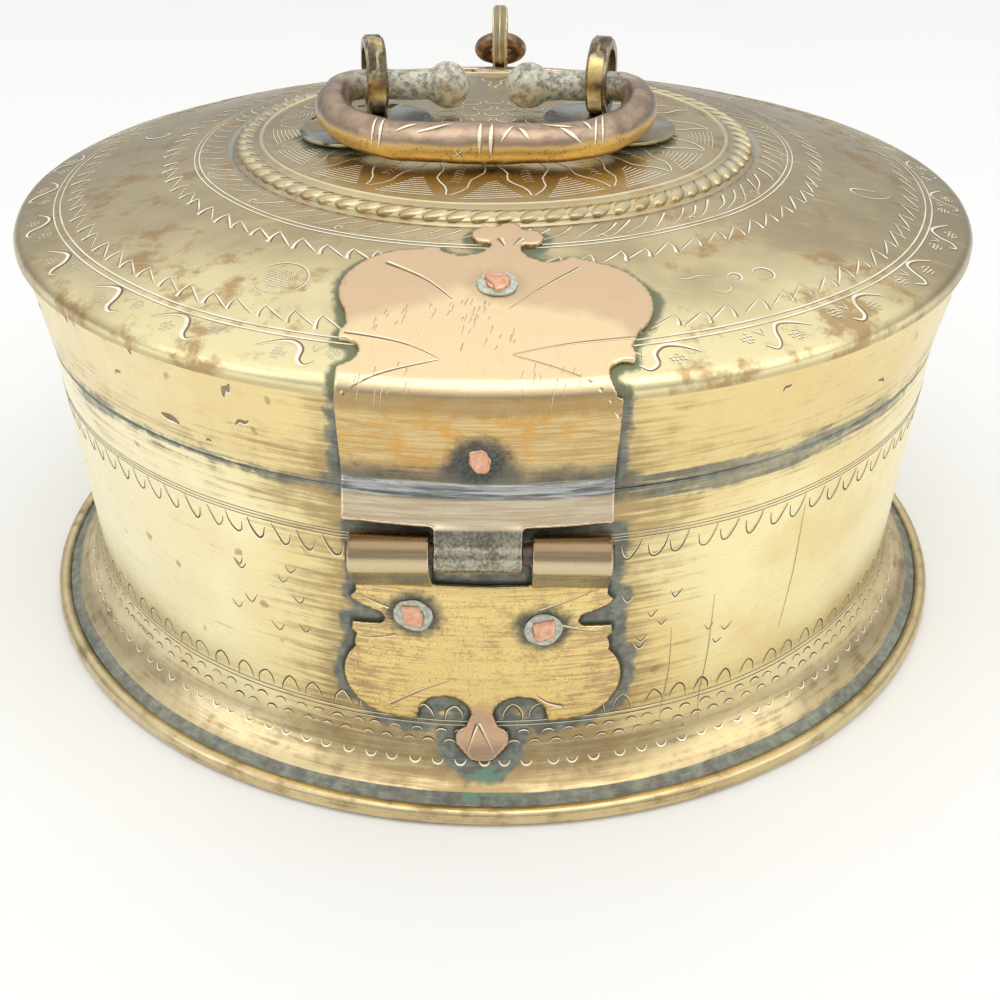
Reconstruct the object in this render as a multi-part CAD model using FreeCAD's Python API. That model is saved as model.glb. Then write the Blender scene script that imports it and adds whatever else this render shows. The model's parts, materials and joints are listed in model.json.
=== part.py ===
import FreeCAD, Part
import math
import os

# Chapati box: a round brass box with a hinged domed lid, a carrying handle and a front clasp.
# Millimetres. +Z up, origin at the centre of the flat foot. The hinge faces -Y, the clasp +Y.

V = FreeCAD.Vector
UP = V(0, 0, 1)
ACROSS = V(1, 0, 0)

# Sheet and box body
sheet = 1.2               # thickness of the body and lid sheets
foot_radius = 130.0       # outside of the rolled foot edge
foot_edge_height = 4.6
foot_edge_width = 3.6
flare_toe_height = 3.4    # where the flared foot meets the rolled edge
flare_inset = 14.5        # from the foot's outside in to the wall at its narrowest
waist_height = 20.5
mouth_flare = 4.0         # the wall widens by this much from there to its mouth
seam_height = 82.7
collar_thickness = 1.0
collar_rise = 6.0         # how far the inner lip stands above the mouth
collar_depth = 12.0       # how far it reaches down inside the wall
collar_clearance = 1.3    # between the lip and the lid, so that the lid can tip open
joggle = 1.0              # height of the step in the lip

# Lid
seam_gap = 0.3
band_step = 0.1           # the lid's side stands this far outside the mouth
band_flare = 3.7          # and widens by this much up to the dome's edge
band_rise = 22.7          # height of the lid's side below the dome's edge
shoulder_round = 3.2      # outside radius of the shoulder
skirt = 1.2               # height of the turned-down edge
dome_radius = 427.0       # radius of the dome's sphere
medallion_rise = 0.9      # the round centre stands above the sphere
bead_inner = 60.0         # thin bead round the centre
bead_crest = 60.9
bead_outer = 61.9
bead_rise = 0.5
rope_outer = 67.6         # outer edge of the raised rope ring
rope_bulge = 0.6
groove_radius = 68.4
groove_depth = 0.5
groove_outer = 69.4

# Hinge and clasp plates
plate = 1.3               # thickness of the plates
plate_half_width = 28.0
left_stretch = 1.02       # the upper plate was cut a little wider on its left
ledge_shift = -0.75       # the ledge sits a little to the left of the fold
knuckle_half_width = 27.2
knuckle_standoff = 4.7    # pin axis, outside the wall's mouth
knuckle_drop = 11.1       # pin axis, below the mouth
knuckle_radius = 4.6
tongue_radius = 4.1
pin_radius = 2.3
pin_clearance = 0.06      # running fit of the tongue on its pin
clasp_clearance = 0.3     # radial play of a loose lock pin in the clasp
pin_overhang = 0.5
tongue_left = 9.6         # the tongue's two sides, and the knuckles' inner ends
tongue_right = 8.8
notch_left = 10.4
notch_right = 10.8
leaf_drop = 11.6          # top of the lower plate's flat part, below the pin axis
ledge_rise = 14.8         # crease where the upper plate turns outwards, above the pin axis
ledge_lift = 6.2          # foot of that ledge, above the pin axis
ledge_standoff = 0.8      # outside the dome's edge
ledge_thickness = 2.0
plate_gap = 0.1           # between the upper plate and the lid's side at the crease
hinge_lean = 5.5          # degrees by which the hinge's top ornament was bent aside
clasp_lean = 0.0
finial_reach = 3.0        # the plates' tips may reach this far inside the lid's groove

# Rivets
shank_radius = 1.5
head_radius = 2.35
head_rise = 0.4
ring_radius = 4.35
ring_thickness = 0.45
peen_radius = 2.8
peen_rise = 1.0
washer_radius = 4.4
washer_thickness = 0.6
lower_rivets = ((-14.8, 8.6), (13.5, 12.0))   # across, and below the top of the leaf
side_rivet_rise = 21.2    # above the pin axis
top_rivet_inset = 30.3    # inwards from the pin axis

# Handle loops, washers and handle
loop_spacing = 58.8       # between the two handle loops
handle_offset = -1.6      # loops and handle sit a little to one side
loop_outer = 10.1
loop_inner = 6.7
loop_width = 5.4
loop_bevel = 0.9
loop_turns = (12.0, -13.0)  # degrees by which the left and right loops are turned about their stems
stem_radius = 2.6
dish_radius = 16.8
dish_thickness = 0.7
dish_lift = 1.0
dish_places = ((-32.5, -11.5), (29.8, -9.5))  # their middles, which lie in front of the stems
arm_radius = 3.8          # handle rod where it passes through the loops
rest_clearance = 0.4      # between the handle or ring and what it lies in
handle_half_width = 42.2  # outside
handle_depth = 40.0       # pivot line to the middle of the front of the handle
handle_corner = 26.0      # radius of the handle's front corners
handle_turn_in = 6.6      # radius of the bends into the loops
side_radius = 3.8
corner_radius = 4.6
grip_radius = 5.2
knob_radius = 5.9
knob_gap = 9.2            # between the two knobs

# Front loop and pull ring
front_loop_outer = 9.6
front_loop_inner = 6.5
front_loop_width = 4.9
front_loop_inset = 32.0   # inwards from the clasp's pin axis
ring_rod_radius = 2.45
ring_middle_radius = 6.0

# Places worked out from the sizes above
waist_radius = foot_radius - flare_inset
seam_radius = waist_radius + mouth_flare
band_foot_radius = seam_radius + band_step
band_foot = seam_height + seam_gap
band_top_radius = band_foot_radius + band_flare
band_top = band_foot + band_rise
shoulder_radius = band_top_radius + sheet
shoulder_height = band_top + skirt
knuckle_reach = seam_radius + knuckle_standoff
knuckle_height = seam_height - knuckle_drop
leaf_top = knuckle_height - leaf_drop
ledge_top = knuckle_height + ledge_rise
ledge_bottom = knuckle_height + ledge_lift
ledge_reach = shoulder_radius + ledge_standoff
front_loop_reach = knuckle_reach - front_loop_inset
dome_centre = shoulder_height - math.sqrt((dome_radius - shoulder_round) ** 2
                                          - (shoulder_radius - shoulder_round) ** 2)
wall_slope = (seam_radius - waist_radius) / (seam_height - waist_height)
band_slope = (band_top_radius - band_foot_radius) / (band_top - band_foot)
loop_half = loop_spacing / 2
OVER = 60.0               # cutters reach this far past what they cut
OUTLINE_SQUARES = 28.0    # half a plate's width on the grid that its outline is drawn on


def dome_height(radius, lift=0.0):
    """Height of the dome's sphere, or of one concentric with it."""
    return dome_centre + math.sqrt((dome_radius + lift) ** 2 - radius ** 2)


def medallion_height(radius, lift=0.0):
    """Height of the raised round centre of the lid."""
    return dome_height(radius, lift) + medallion_rise


def wall_radius(height):
    """Outside radius of the box wall above its waist."""
    return waist_radius + wall_slope * (height - waist_height)


def band_radius(height):
    """Outside radius of the lid's side."""
    return band_foot_radius + band_slope * (height - band_foot)


# Drawing helpers: sections are drawn in the XZ plane as (radius, height)
def point(radius, height):
    return V(radius, 0, height)


def line(start, end):
    return Part.LineSegment(start, end).toShape()


def arc_about(centre, start, end):
    """The short arc from start to end about a centre."""
    middle = (start - centre) + (end - centre)
    middle.normalize()
    return Part.Arc(start, centre + middle * (start - centre).Length, end).toShape()


def chain(points):
    return [line(a, b) for a, b in zip(points, points[1:])]


def turned(edges):
    """A solid of revolution about the box's axis."""
    return Part.Face(Part.Wire(edges)).revolve(V(0, 0, 0), UP, 360)


def prism(points, direction):
    """A straight solid from a closed outline of points."""
    return Part.Face(Part.Wire(chain(points + points[:1]))).extrude(direction)


def rod(radius, start, end):
    return Part.makeCylinder(radius, (end - start).Length, start, end - start)


def one(shape):
    """The single solid of a clean boolean result."""
    clean = shape.removeSplitter()
    return clean.Solids[0]


def cut_all(shape, tools):
    for tool in tools:
        shape = shape.cut(tool)
    return shape


def to_front(shape):
    """A piece made for the hinge side, turned round to the clasp side."""
    other = shape.copy()
    other.rotate(V(0, 0, 0), UP, 180)
    return other


# Box body
def flare_centre():
    """Centre and radius of the hollow curve between the waist and the foot."""
    run = foot_radius - foot_edge_width - waist_radius
    fall = waist_height - flare_toe_height
    radius = (run ** 2 + fall ** 2) / (2 * run)
    return point(waist_radius + radius, waist_height), radius


def drum_outer():
    """Outside of the wall from its toe to its mouth, as edges going up."""
    centre = flare_centre()[0]
    toe = point(foot_radius - foot_edge_width, flare_toe_height)
    waist = point(waist_radius, waist_height)
    return [arc_about(centre, toe, waist), line(waist, point(seam_radius, seam_height))]


def drum_wall():
    centre, radius = flare_centre()
    toe_radius = foot_radius - foot_edge_width
    fall = math.sqrt((radius + sheet) ** 2 - (centre.x - toe_radius) ** 2)
    toe_inside = point(toe_radius, waist_height - fall)
    waist_inside = point(waist_radius - sheet, waist_height)
    mouth_inside = point(seam_radius - sheet, seam_height)
    edges = drum_outer()
    edges += chain([point(seam_radius, seam_height), mouth_inside, waist_inside])
    edges += [arc_about(centre, waist_inside, toe_inside)]
    edges += [line(toe_inside, point(toe_radius, flare_toe_height))]
    return turned(edges)


def drum_solid(lift=0.0):
    """The wall's outside as a full solid, grown by lift, for fitting plates to it."""
    centre, radius = flare_centre()
    start = point(foot_radius - foot_edge_width, flare_toe_height) - centre
    start.normalize()
    toe = centre + start * (radius - lift)
    waist = point(waist_radius + lift, waist_height)
    mouth = point(seam_radius + lift, seam_height)
    edges = [arc_about(centre, toe, waist)]
    edges += chain([waist, mouth, point(0, seam_height), point(0, toe.z), toe])
    return turned(edges)


def base_tray():
    round_radius = foot_edge_width / 2
    inner = foot_radius - foot_edge_width
    centre = point(foot_radius - round_radius, foot_edge_height - round_radius)
    outside = point(foot_radius, centre.z)
    inside = point(inner, centre.z)
    crest = point(centre.x, foot_edge_height)
    edges = chain([point(0, 0), point(foot_radius - sheet, 0), point(foot_radius, sheet), outside])
    edges += [arc_about(centre, outside, crest), arc_about(centre, crest, inside)]
    edges += chain([inside, point(inner, sheet), point(0, sheet), point(0, 0)])
    return turned(edges)


def mouth_collar():
    foot = seam_height - collar_depth
    step = seam_height - joggle
    inside = wall_radius(foot) - sheet
    at_step = wall_radius(step) - sheet
    lip = band_foot_radius - sheet - collar_clearance
    outer = [point(inside, foot), point(at_step, step), point(lip, seam_height),
             point(lip, seam_height + collar_rise)]
    inner = [p - V(collar_thickness, 0, 0) for p in reversed(outer)]
    inner[1] = inner[1] - UP * (collar_thickness / 2)
    inner[2] = inner[2] - UP * (collar_thickness / 2)
    return turned(chain(outer + inner + outer[:1]))


# Lid
def shoulder_points(lift=0.0):
    """Where the shoulder's round meets the dome and the turned-down edge."""
    centre = point(shoulder_radius - shoulder_round, shoulder_height)
    to_dome = centre - point(0, dome_centre)
    to_dome.normalize()
    return centre, centre + to_dome * (shoulder_round + lift), point(shoulder_radius + lift,
                                                                     shoulder_height)


def dome_arc(start_radius, end, lift=0.0):
    """Part of the dome's sphere from a radius out to the shoulder."""
    start = point(start_radius, dome_height(start_radius, lift))
    return arc_about(point(0, dome_centre), start, end)


def lid_dome():
    centre, top, side = shoulder_points()
    centre, top_in, side_in = shoulder_points(-sheet)
    middle = point(0, dome_centre + medallion_rise)
    bead_start = point(bead_inner, medallion_height(bead_inner))
    rope_start = point(bead_outer, medallion_height(bead_outer) + bead_rise / 2)
    rope_end = point(rope_outer, dome_height(rope_outer))
    rope_middle = (rope_start + rope_end) * 0.5 + point(rope_bulge / 2, rope_bulge)
    groove_end = point(groove_outer, dome_height(groove_outer))
    edges = [arc_about(middle, point(0, medallion_height(0)), bead_start)]
    edges += chain([bead_start, point(bead_crest, medallion_height(bead_crest) + bead_rise), rope_start])
    edges += [Part.Arc(rope_start, rope_middle, rope_end).toShape()]
    edges += chain([rope_end, point(groove_radius, dome_height(groove_radius) - groove_depth), groove_end])
    edges += [dome_arc(groove_outer, top), arc_about(centre, top, side)]
    edges += chain([side, side - UP * skirt, side_in - UP * skirt, side_in])
    edges += [arc_about(centre, side_in, top_in), dome_arc(rope_outer, top_in, -sheet)]
    under_rope = point(rope_outer, dome_height(rope_outer, -sheet))
    under_bead = point(bead_inner, medallion_height(bead_inner, -sheet))
    edges += [line(under_rope, under_bead)]
    edges += [arc_about(middle, under_bead, point(0, medallion_height(0, -sheet)))]
    edges += [line(point(0, medallion_height(0, -sheet)), point(0, medallion_height(0)))]
    return turned(edges)


def lid_side_band():
    outer = [point(band_foot_radius, band_foot), point(band_top_radius, band_top),
             point(band_top_radius, shoulder_height)]
    inner = [p - V(sheet, 0, 0) for p in reversed(outer)]
    return turned(chain(outer + inner + outer[:1]))


# Plates: made on the hinge side, where "reach" is the distance towards -Y
def mirrored(half, stretch=1.0):
    """A full outline from its right half, drawn on a grid of OUTLINE_SQUARES to half a plate."""
    square = plate_half_width / OUTLINE_SQUARES
    whole = half + [(-across * stretch, along) for across, along in reversed(half) if across > 0.01]
    return [(across * square, along * square) for across, along in whole]


def round_points(centre, radius, start_angle, end_angle, count):
    """Points along a round stretch of an outline, angles in degrees."""
    steps = [start_angle + (end_angle - start_angle) * k / (count - 1) for k in range(count)]
    return [(centre[0] + radius * math.cos(math.radians(a)), centre[1] + radius * math.sin(math.radians(a)))
            for a in steps]


def top_outline():
    """Right half of the upper plate on the dome: across, and inwards from the pin axis."""
    half = [(OUTLINE_SQUARES, -8.0), (OUTLINE_SQUARES, 3.4)]
    half += round_points((28.6, 7.4), 4.0, -110, -250, 9)
    half += [(29.4, 11.4), (29.6, 13.6), (28.6, 15.6)]
    half += round_points((18.9, 28.6), 13.6, -36, 78, 14)
    half += [(15.0, 43.4)]
    half += round_points((9.0, 46.4), 5.8, -32, -172, 9)
    half += round_points((4.7, 49.8), 3.2, -110, 112, 9)
    half += round_points((0.0, 53.0), 2.5, 10, 90, 5)
    return mirrored(half, left_stretch)


def low_outline():
    """Right half of the lower plate on the wall: across, and up from the top of the leaf."""
    half = [(27.2, 6.0), (27.4, -4.0), (28.8, -5.6), (27.4, -7.2), (24.2, -8.4)]
    half += round_points((23.2, -10.6), 1.9, 120, 240, 5)
    half += [(25.0, -12.6), (28.8, -12.9), (29.0, -15.2), (27.9, -16.2), (28.6, -18.6)]
    half += round_points((19.6, -28.2), 12.0, 42, -74, 14)
    half += [(14.9, -40.1)]
    half += round_points((8.6, -38.4), 6.2, 0, 172, 10)
    half += round_points((3.2, -44.4), 3.1, 80, -50, 7)
    half += [(3.3, -48.4), (1.6, -49.2)]
    return mirrored(half)


def leaned(outline, lean):
    """The top outline in plan on the hinge side, bent aside by some degrees."""
    turn = math.radians(-lean)
    reach = knuckle_reach
    places = []
    for across, inward in outline:
        x = across * math.cos(turn) - inward * math.sin(turn)
        y = across * math.sin(turn) + inward * math.cos(turn)
        places.append(V(x, y - reach, shoulder_height))
    return places


def upper_shell():
    """The upper plate's metal, turned all round, before its outline is cut."""
    centre, top, side = shoulder_points()
    centre, top_out, side_out = shoulder_points(plate)
    inner_end = groove_radius - finial_reach
    crease = point(band_radius(ledge_top) + plate_gap, ledge_top)
    crease_out = crease + V(plate, 0, 0)
    skirt_foot = side - UP * skirt
    skirt_out = side_out - UP * skirt
    lip = point(ledge_reach, ledge_bottom + 0.6)
    lip_foot = point(ledge_reach - 0.6, ledge_bottom)
    lip_inside = point(ledge_reach - ledge_thickness, ledge_bottom)
    edges = [dome_arc(inner_end, top), arc_about(centre, top, side)]
    edges += chain([side, skirt_foot, crease, lip_inside, lip_foot, lip, crease_out, skirt_out, side_out])
    edges += [arc_about(centre, side_out, top_out), dome_arc(inner_end, top_out, plate)]
    edges += [line(point(inner_end, dome_height(inner_end, plate)), point(inner_end, dome_height(inner_end)))]
    return turned(edges)


def slab(half_width, low, high, near, far):
    """A block on the hinge side, from near to far out from the axis."""
    return Part.makeBox(2 * half_width, far - near, high - low, V(-half_width, -far, low))


def side_part():
    """What the upper plate keeps below the shoulder: a strip that runs a little to the left."""
    low = ledge_bottom - plate
    right = V(plate_half_width, -foot_radius, shoulder_height)
    left = V(-plate_half_width * left_stretch, -foot_radius, shoulder_height)
    corners = [left, right, V(plate_half_width + ledge_shift, -foot_radius, low),
               V(-plate_half_width + ledge_shift, -foot_radius, low)]
    return prism(corners, V(0, OVER / 2, 0))


def tongue(bore):
    """The middle knuckle and the arm that joins it to the upper plate's ledge."""
    wide = tongue_left + tongue_right
    axis = point(knuckle_reach, knuckle_height)
    arm = [axis + V(tongue_radius, 0, 0), point(ledge_reach, ledge_bottom + 0.6),
           point(ledge_reach - ledge_thickness, ledge_bottom + 1.0),
           point(ledge_reach - ledge_thickness - 1.6, ledge_bottom - 1.6), axis - V(tongue_radius, 0, 0)]
    body = prism([V(-tongue_left, -p.x, p.z) for p in arm], ACROSS * wide)
    left = V(-tongue_left, -knuckle_reach, knuckle_height)
    right = V(tongue_right, -knuckle_reach, knuckle_height)
    return body.fuse(rod(tongue_radius, left, right)).cut(rod(bore, left - ACROSS, right + ACROSS))


def upper_plate(lean, bore, dome):
    shell = upper_shell()
    dome_part = prism(leaned(top_outline(), lean), UP * OVER)
    leaf = shell.common(dome_part).fuse(shell.common(side_part()))
    leaf = leaf.cut(dome)
    whole = leaf.fuse(tongue(bore))
    return one(whole)


def knuckle(start, end):
    """One knuckle of the lower plate with its root, between two places across."""
    left = V(start, -knuckle_reach, knuckle_height)
    right = V(end, -knuckle_reach, knuckle_height)
    axis = point(knuckle_reach, knuckle_height)
    under = axis + V(math.sin(math.radians(35)), 0, -math.cos(math.radians(35))) * knuckle_radius
    back = wall_radius(knuckle_height) - 6.0
    root = [axis, under, point(wall_radius(leaf_top) + plate, leaf_top), point(back, leaf_top),
            point(back, knuckle_height)]
    body = prism([V(start, -p.x, p.z) for p in root], ACROSS * (end - start))
    return body.fuse(rod(knuckle_radius, left, right))


def lower_plate(bore):
    leaf = drum_solid(plate).common(prism([V(x, -foot_radius, leaf_top + z) for x, z in low_outline()],
                                           V(0, OVER / 2, 0)))
    notch = slab(plate_half_width + 2, leaf_top, seam_height, knuckle_reach - 20, knuckle_reach + 10)
    leaf = leaf.cut(notch)
    whole = leaf.fuse([knuckle(-knuckle_half_width, -notch_left), knuckle(notch_right, knuckle_half_width)])
    whole = whole.cut(drum_solid())
    end = knuckle_half_width + pin_overhang
    hole = rod(bore, V(-end, -knuckle_reach, knuckle_height), V(end, -knuckle_reach, knuckle_height))
    return one(whole.cut(hole))


def hinge_pin():
    end = knuckle_half_width + pin_overhang
    return rod(pin_radius, V(-end, -knuckle_reach, knuckle_height), V(end, -knuckle_reach, knuckle_height))


# Rivets: each stands on a seat, the point where its axis leaves the plate, and points out of the box
def wall_seat(across, height):
    """Seat and outward direction of a rivet through the lower plate and the wall."""
    tilt = math.atan(wall_slope)
    turn = math.asin(across / (wall_radius(height) + plate))
    outward = V(math.sin(turn) * math.cos(tilt), -math.cos(turn) * math.cos(tilt), -math.sin(tilt))
    reach = wall_radius(height) + plate / math.cos(tilt)
    return V(math.sin(turn) * reach, -math.cos(turn) * reach, height), outward


def band_seat(height):
    """Seat and direction of the rivet through the upper plate and the lid's side."""
    skirt_foot = shoulder_height - skirt
    run = shoulder_radius - band_radius(ledge_top) - plate_gap
    share = (height - ledge_top) / (skirt_foot - ledge_top)
    reach = band_radius(ledge_top) + plate_gap + run * share + plate
    tilt = math.atan2(run, skirt_foot - ledge_top)
    return V(0, -reach, height), V(0, -math.cos(tilt), -math.sin(tilt))


def dome_seat(across, reach, lift):
    """Seat and direction of a rivet or stem through the dome."""
    radius = math.hypot(across, reach)
    seat = V(across, -reach, dome_height(radius, lift))
    outward = seat - V(0, 0, dome_centre)
    outward.normalize()
    return seat, outward


def shank_hole(seat, outward, radius=shank_radius):
    return rod(radius, seat - outward * 8, seat + outward * 8)


def rivet(seat, outward, stack, rise):
    """A copper rivet with a low outer head and a peened end inside."""
    inside = seat - outward * stack
    whole = rod(shank_radius, inside, seat)
    head = rod(head_radius, seat, seat + outward * (rise + head_rise))
    peen = Part.makeCone(peen_radius, shank_radius, peen_rise, inside, outward * -1)
    return one(whole.fuse([head, peen]))


def rivet_ring(seat, outward, carrier):
    """The flat ring under an outer rivet head, fitted to the curved plate."""
    ring = rod(ring_radius, seat - outward * 0.5, seat + outward * ring_thickness)
    ring = ring.cut(rod(head_radius, seat - outward, seat + outward))
    return one(ring.cut(carrier))


def inner_washer(inside, outward, carrier, radius=washer_radius, hole=shank_radius):
    """A washer against the inside of the sheet, fitted to its curve."""
    washer = rod(radius, inside, inside + outward * (washer_thickness + 1.0))
    washer = washer.cut(rod(hole, inside - outward, inside + outward * 3))
    return max(washer.cut(carrier).Solids, key=lambda s: -(s.CenterOfMass - inside).Length)


# Handle hardware
def stem_washer(inside, dome):
    """The washer round an eye's stem, inside the lid."""
    return inner_washer(inside, UP, dome, stem_radius + 3.4, stem_radius)


def eye(centre, turn, outer, inner, width):
    """A flat ring on edge, bevelled, its hole along X before it is turned."""
    start = centre - ACROSS * (width / 2)
    ring = rod(outer, start, start + ACROSS * width)
    for side in (-1, 1):
        rim = centre + ACROSS * (side * width / 2)
        cone = Part.makeCone(outer - loop_bevel, outer + loop_bevel, 2 * loop_bevel, rim, ACROSS * -side)
        ring = ring.common(cone.fuse(rod(outer + 1, rim - ACROSS * (side * 2 * loop_bevel),
                                         centre - ACROSS * (side * width))))
    ring = ring.cut(rod(inner, start - ACROSS, start + ACROSS * (width + 1)))
    ring.rotate(centre, UP, turn)
    return ring


def loop_centre(across, reach, outer, lift):
    """Centre of an eye that stands on the dome."""
    radius = math.hypot(across, reach)
    return V(across, -reach, dome_height(radius, lift) + outer)


def stemmed_eye(centre, turn, outer, inner, width, stack, stem):
    """An eye with its stem through the sheets, peened inside."""
    foot = centre - UP * outer
    shank = rod(stem, foot - UP * stack, foot + UP * (outer - inner) * 0.6)
    ring = eye(centre, turn, outer, inner, width)
    peen = Part.makeCone(stem + 1.2, stem, peen_rise, foot - UP * stack, UP * -1)
    return one(ring.fuse([shank, peen]))


def dished_washer(place):
    """The round dished plate under a handle loop, lying on the dome with its edge lifted."""
    curve = (dish_radius ** 2 + dish_lift ** 2) / (2 * dish_lift)
    foot = medallion_height(0)
    centre = point(0, foot + curve)
    low, high = point(0, foot), point(dish_radius, foot + dish_lift)
    thick = UP * dish_thickness
    edges = [arc_about(centre, low, high)]
    edges += [line(high, high + thick)]
    edges += [arc_about(centre + thick, high + thick, low + thick), line(low + thick, low)]
    dish = turned(edges)
    outward = V(*place, 0)
    slope = math.asin(outward.Length / dome_radius)
    dish.rotate(point(0, dome_centre + medallion_rise), UP.cross(outward), math.degrees(slope))
    return dish


def handle_axis_height():
    """Height of the handle's pivot line: the rod lies just above the bottom of the eyes."""
    top = medallion_height(loop_half) + dish_thickness
    return top + (loop_outer - loop_inner) + arm_radius + rest_clearance


def tapered(start, end, start_radius, end_radius):
    """A straight stretch of the handle rod."""
    if abs(start_radius - end_radius) < 1e-6:
        return rod(start_radius, start, end)
    return Part.makeCone(start_radius, end_radius, (end - start).Length, start, end - start)


def bent(centre, start, turn, radius):
    """A round bend of the handle rod, in the handle's own flat plane."""
    across = start - centre
    disc = Part.Face(Part.Wire(Part.makeCircle(radius, start, UP.cross(across))))
    return disc.revolve(centre, UP, turn)


def carrying_handle():
    """The C-shaped handle, drawn flat with its pivot line on X and its front towards -Y."""
    side = handle_half_width - side_radius
    turn_start = side - handle_turn_in
    corner_x = side - handle_corner
    corner_y = handle_depth - handle_corner
    knob_x = knob_gap / 2 + knob_radius
    front = V(0, -handle_depth, 0)
    right = []
    right.append(Part.makeSphere(knob_radius, V(knob_x, 0, 0)))
    right.append(rod(arm_radius, V(knob_x, 0, 0), V(turn_start, 0, 0)))
    right.append(bent(V(turn_start, -handle_turn_in, 0), V(turn_start, 0, 0), -90, side_radius))
    right.append(tapered(V(side, -handle_turn_in, 0), V(side, -corner_y, 0), side_radius, corner_radius))
    right.append(bent(V(corner_x, -corner_y, 0), V(side, -corner_y, 0), -90, corner_radius))
    right.append(tapered(V(corner_x, -handle_depth, 0), front, corner_radius, grip_radius))
    whole = right[0].fuse(right[1:])
    left = whole.mirror(V(0, 0, 0), ACROSS)
    return one(whole.fuse(left))


def resting_handle():
    """The handle lying on the lid, and the angle by which it slopes down."""
    height = handle_axis_height()
    reach = handle_depth
    rest = medallion_height(reach) + grip_radius + rest_clearance
    slope = math.degrees(math.asin((height - rest) / reach))
    handle = carrying_handle()
    handle.rotate(V(0, 0, 0), ACROSS, slope)
    handle.translate(V(handle_offset, 0, height))
    return handle, slope


def pull_ring(centre):
    """The small ring in the front eye, hanging outwards until it lies on the plate."""
    hole = ring_middle_radius - ring_rod_radius - rest_clearance
    reach = front_loop_inner + math.sqrt(hole ** 2 - (front_loop_width / 2) ** 2)
    slope = math.asin(front_loop_reach / (dome_radius + plate))
    room = front_loop_outer * math.cos(slope) - ring_rod_radius - rest_clearance
    hang = slope + math.asin(room / (reach + ring_middle_radius))
    away = V(0, math.cos(hang), -math.sin(hang))
    return Part.makeTorus(ring_middle_radius, ring_rod_radius, centre + away * reach, away.cross(ACROSS))


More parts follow.
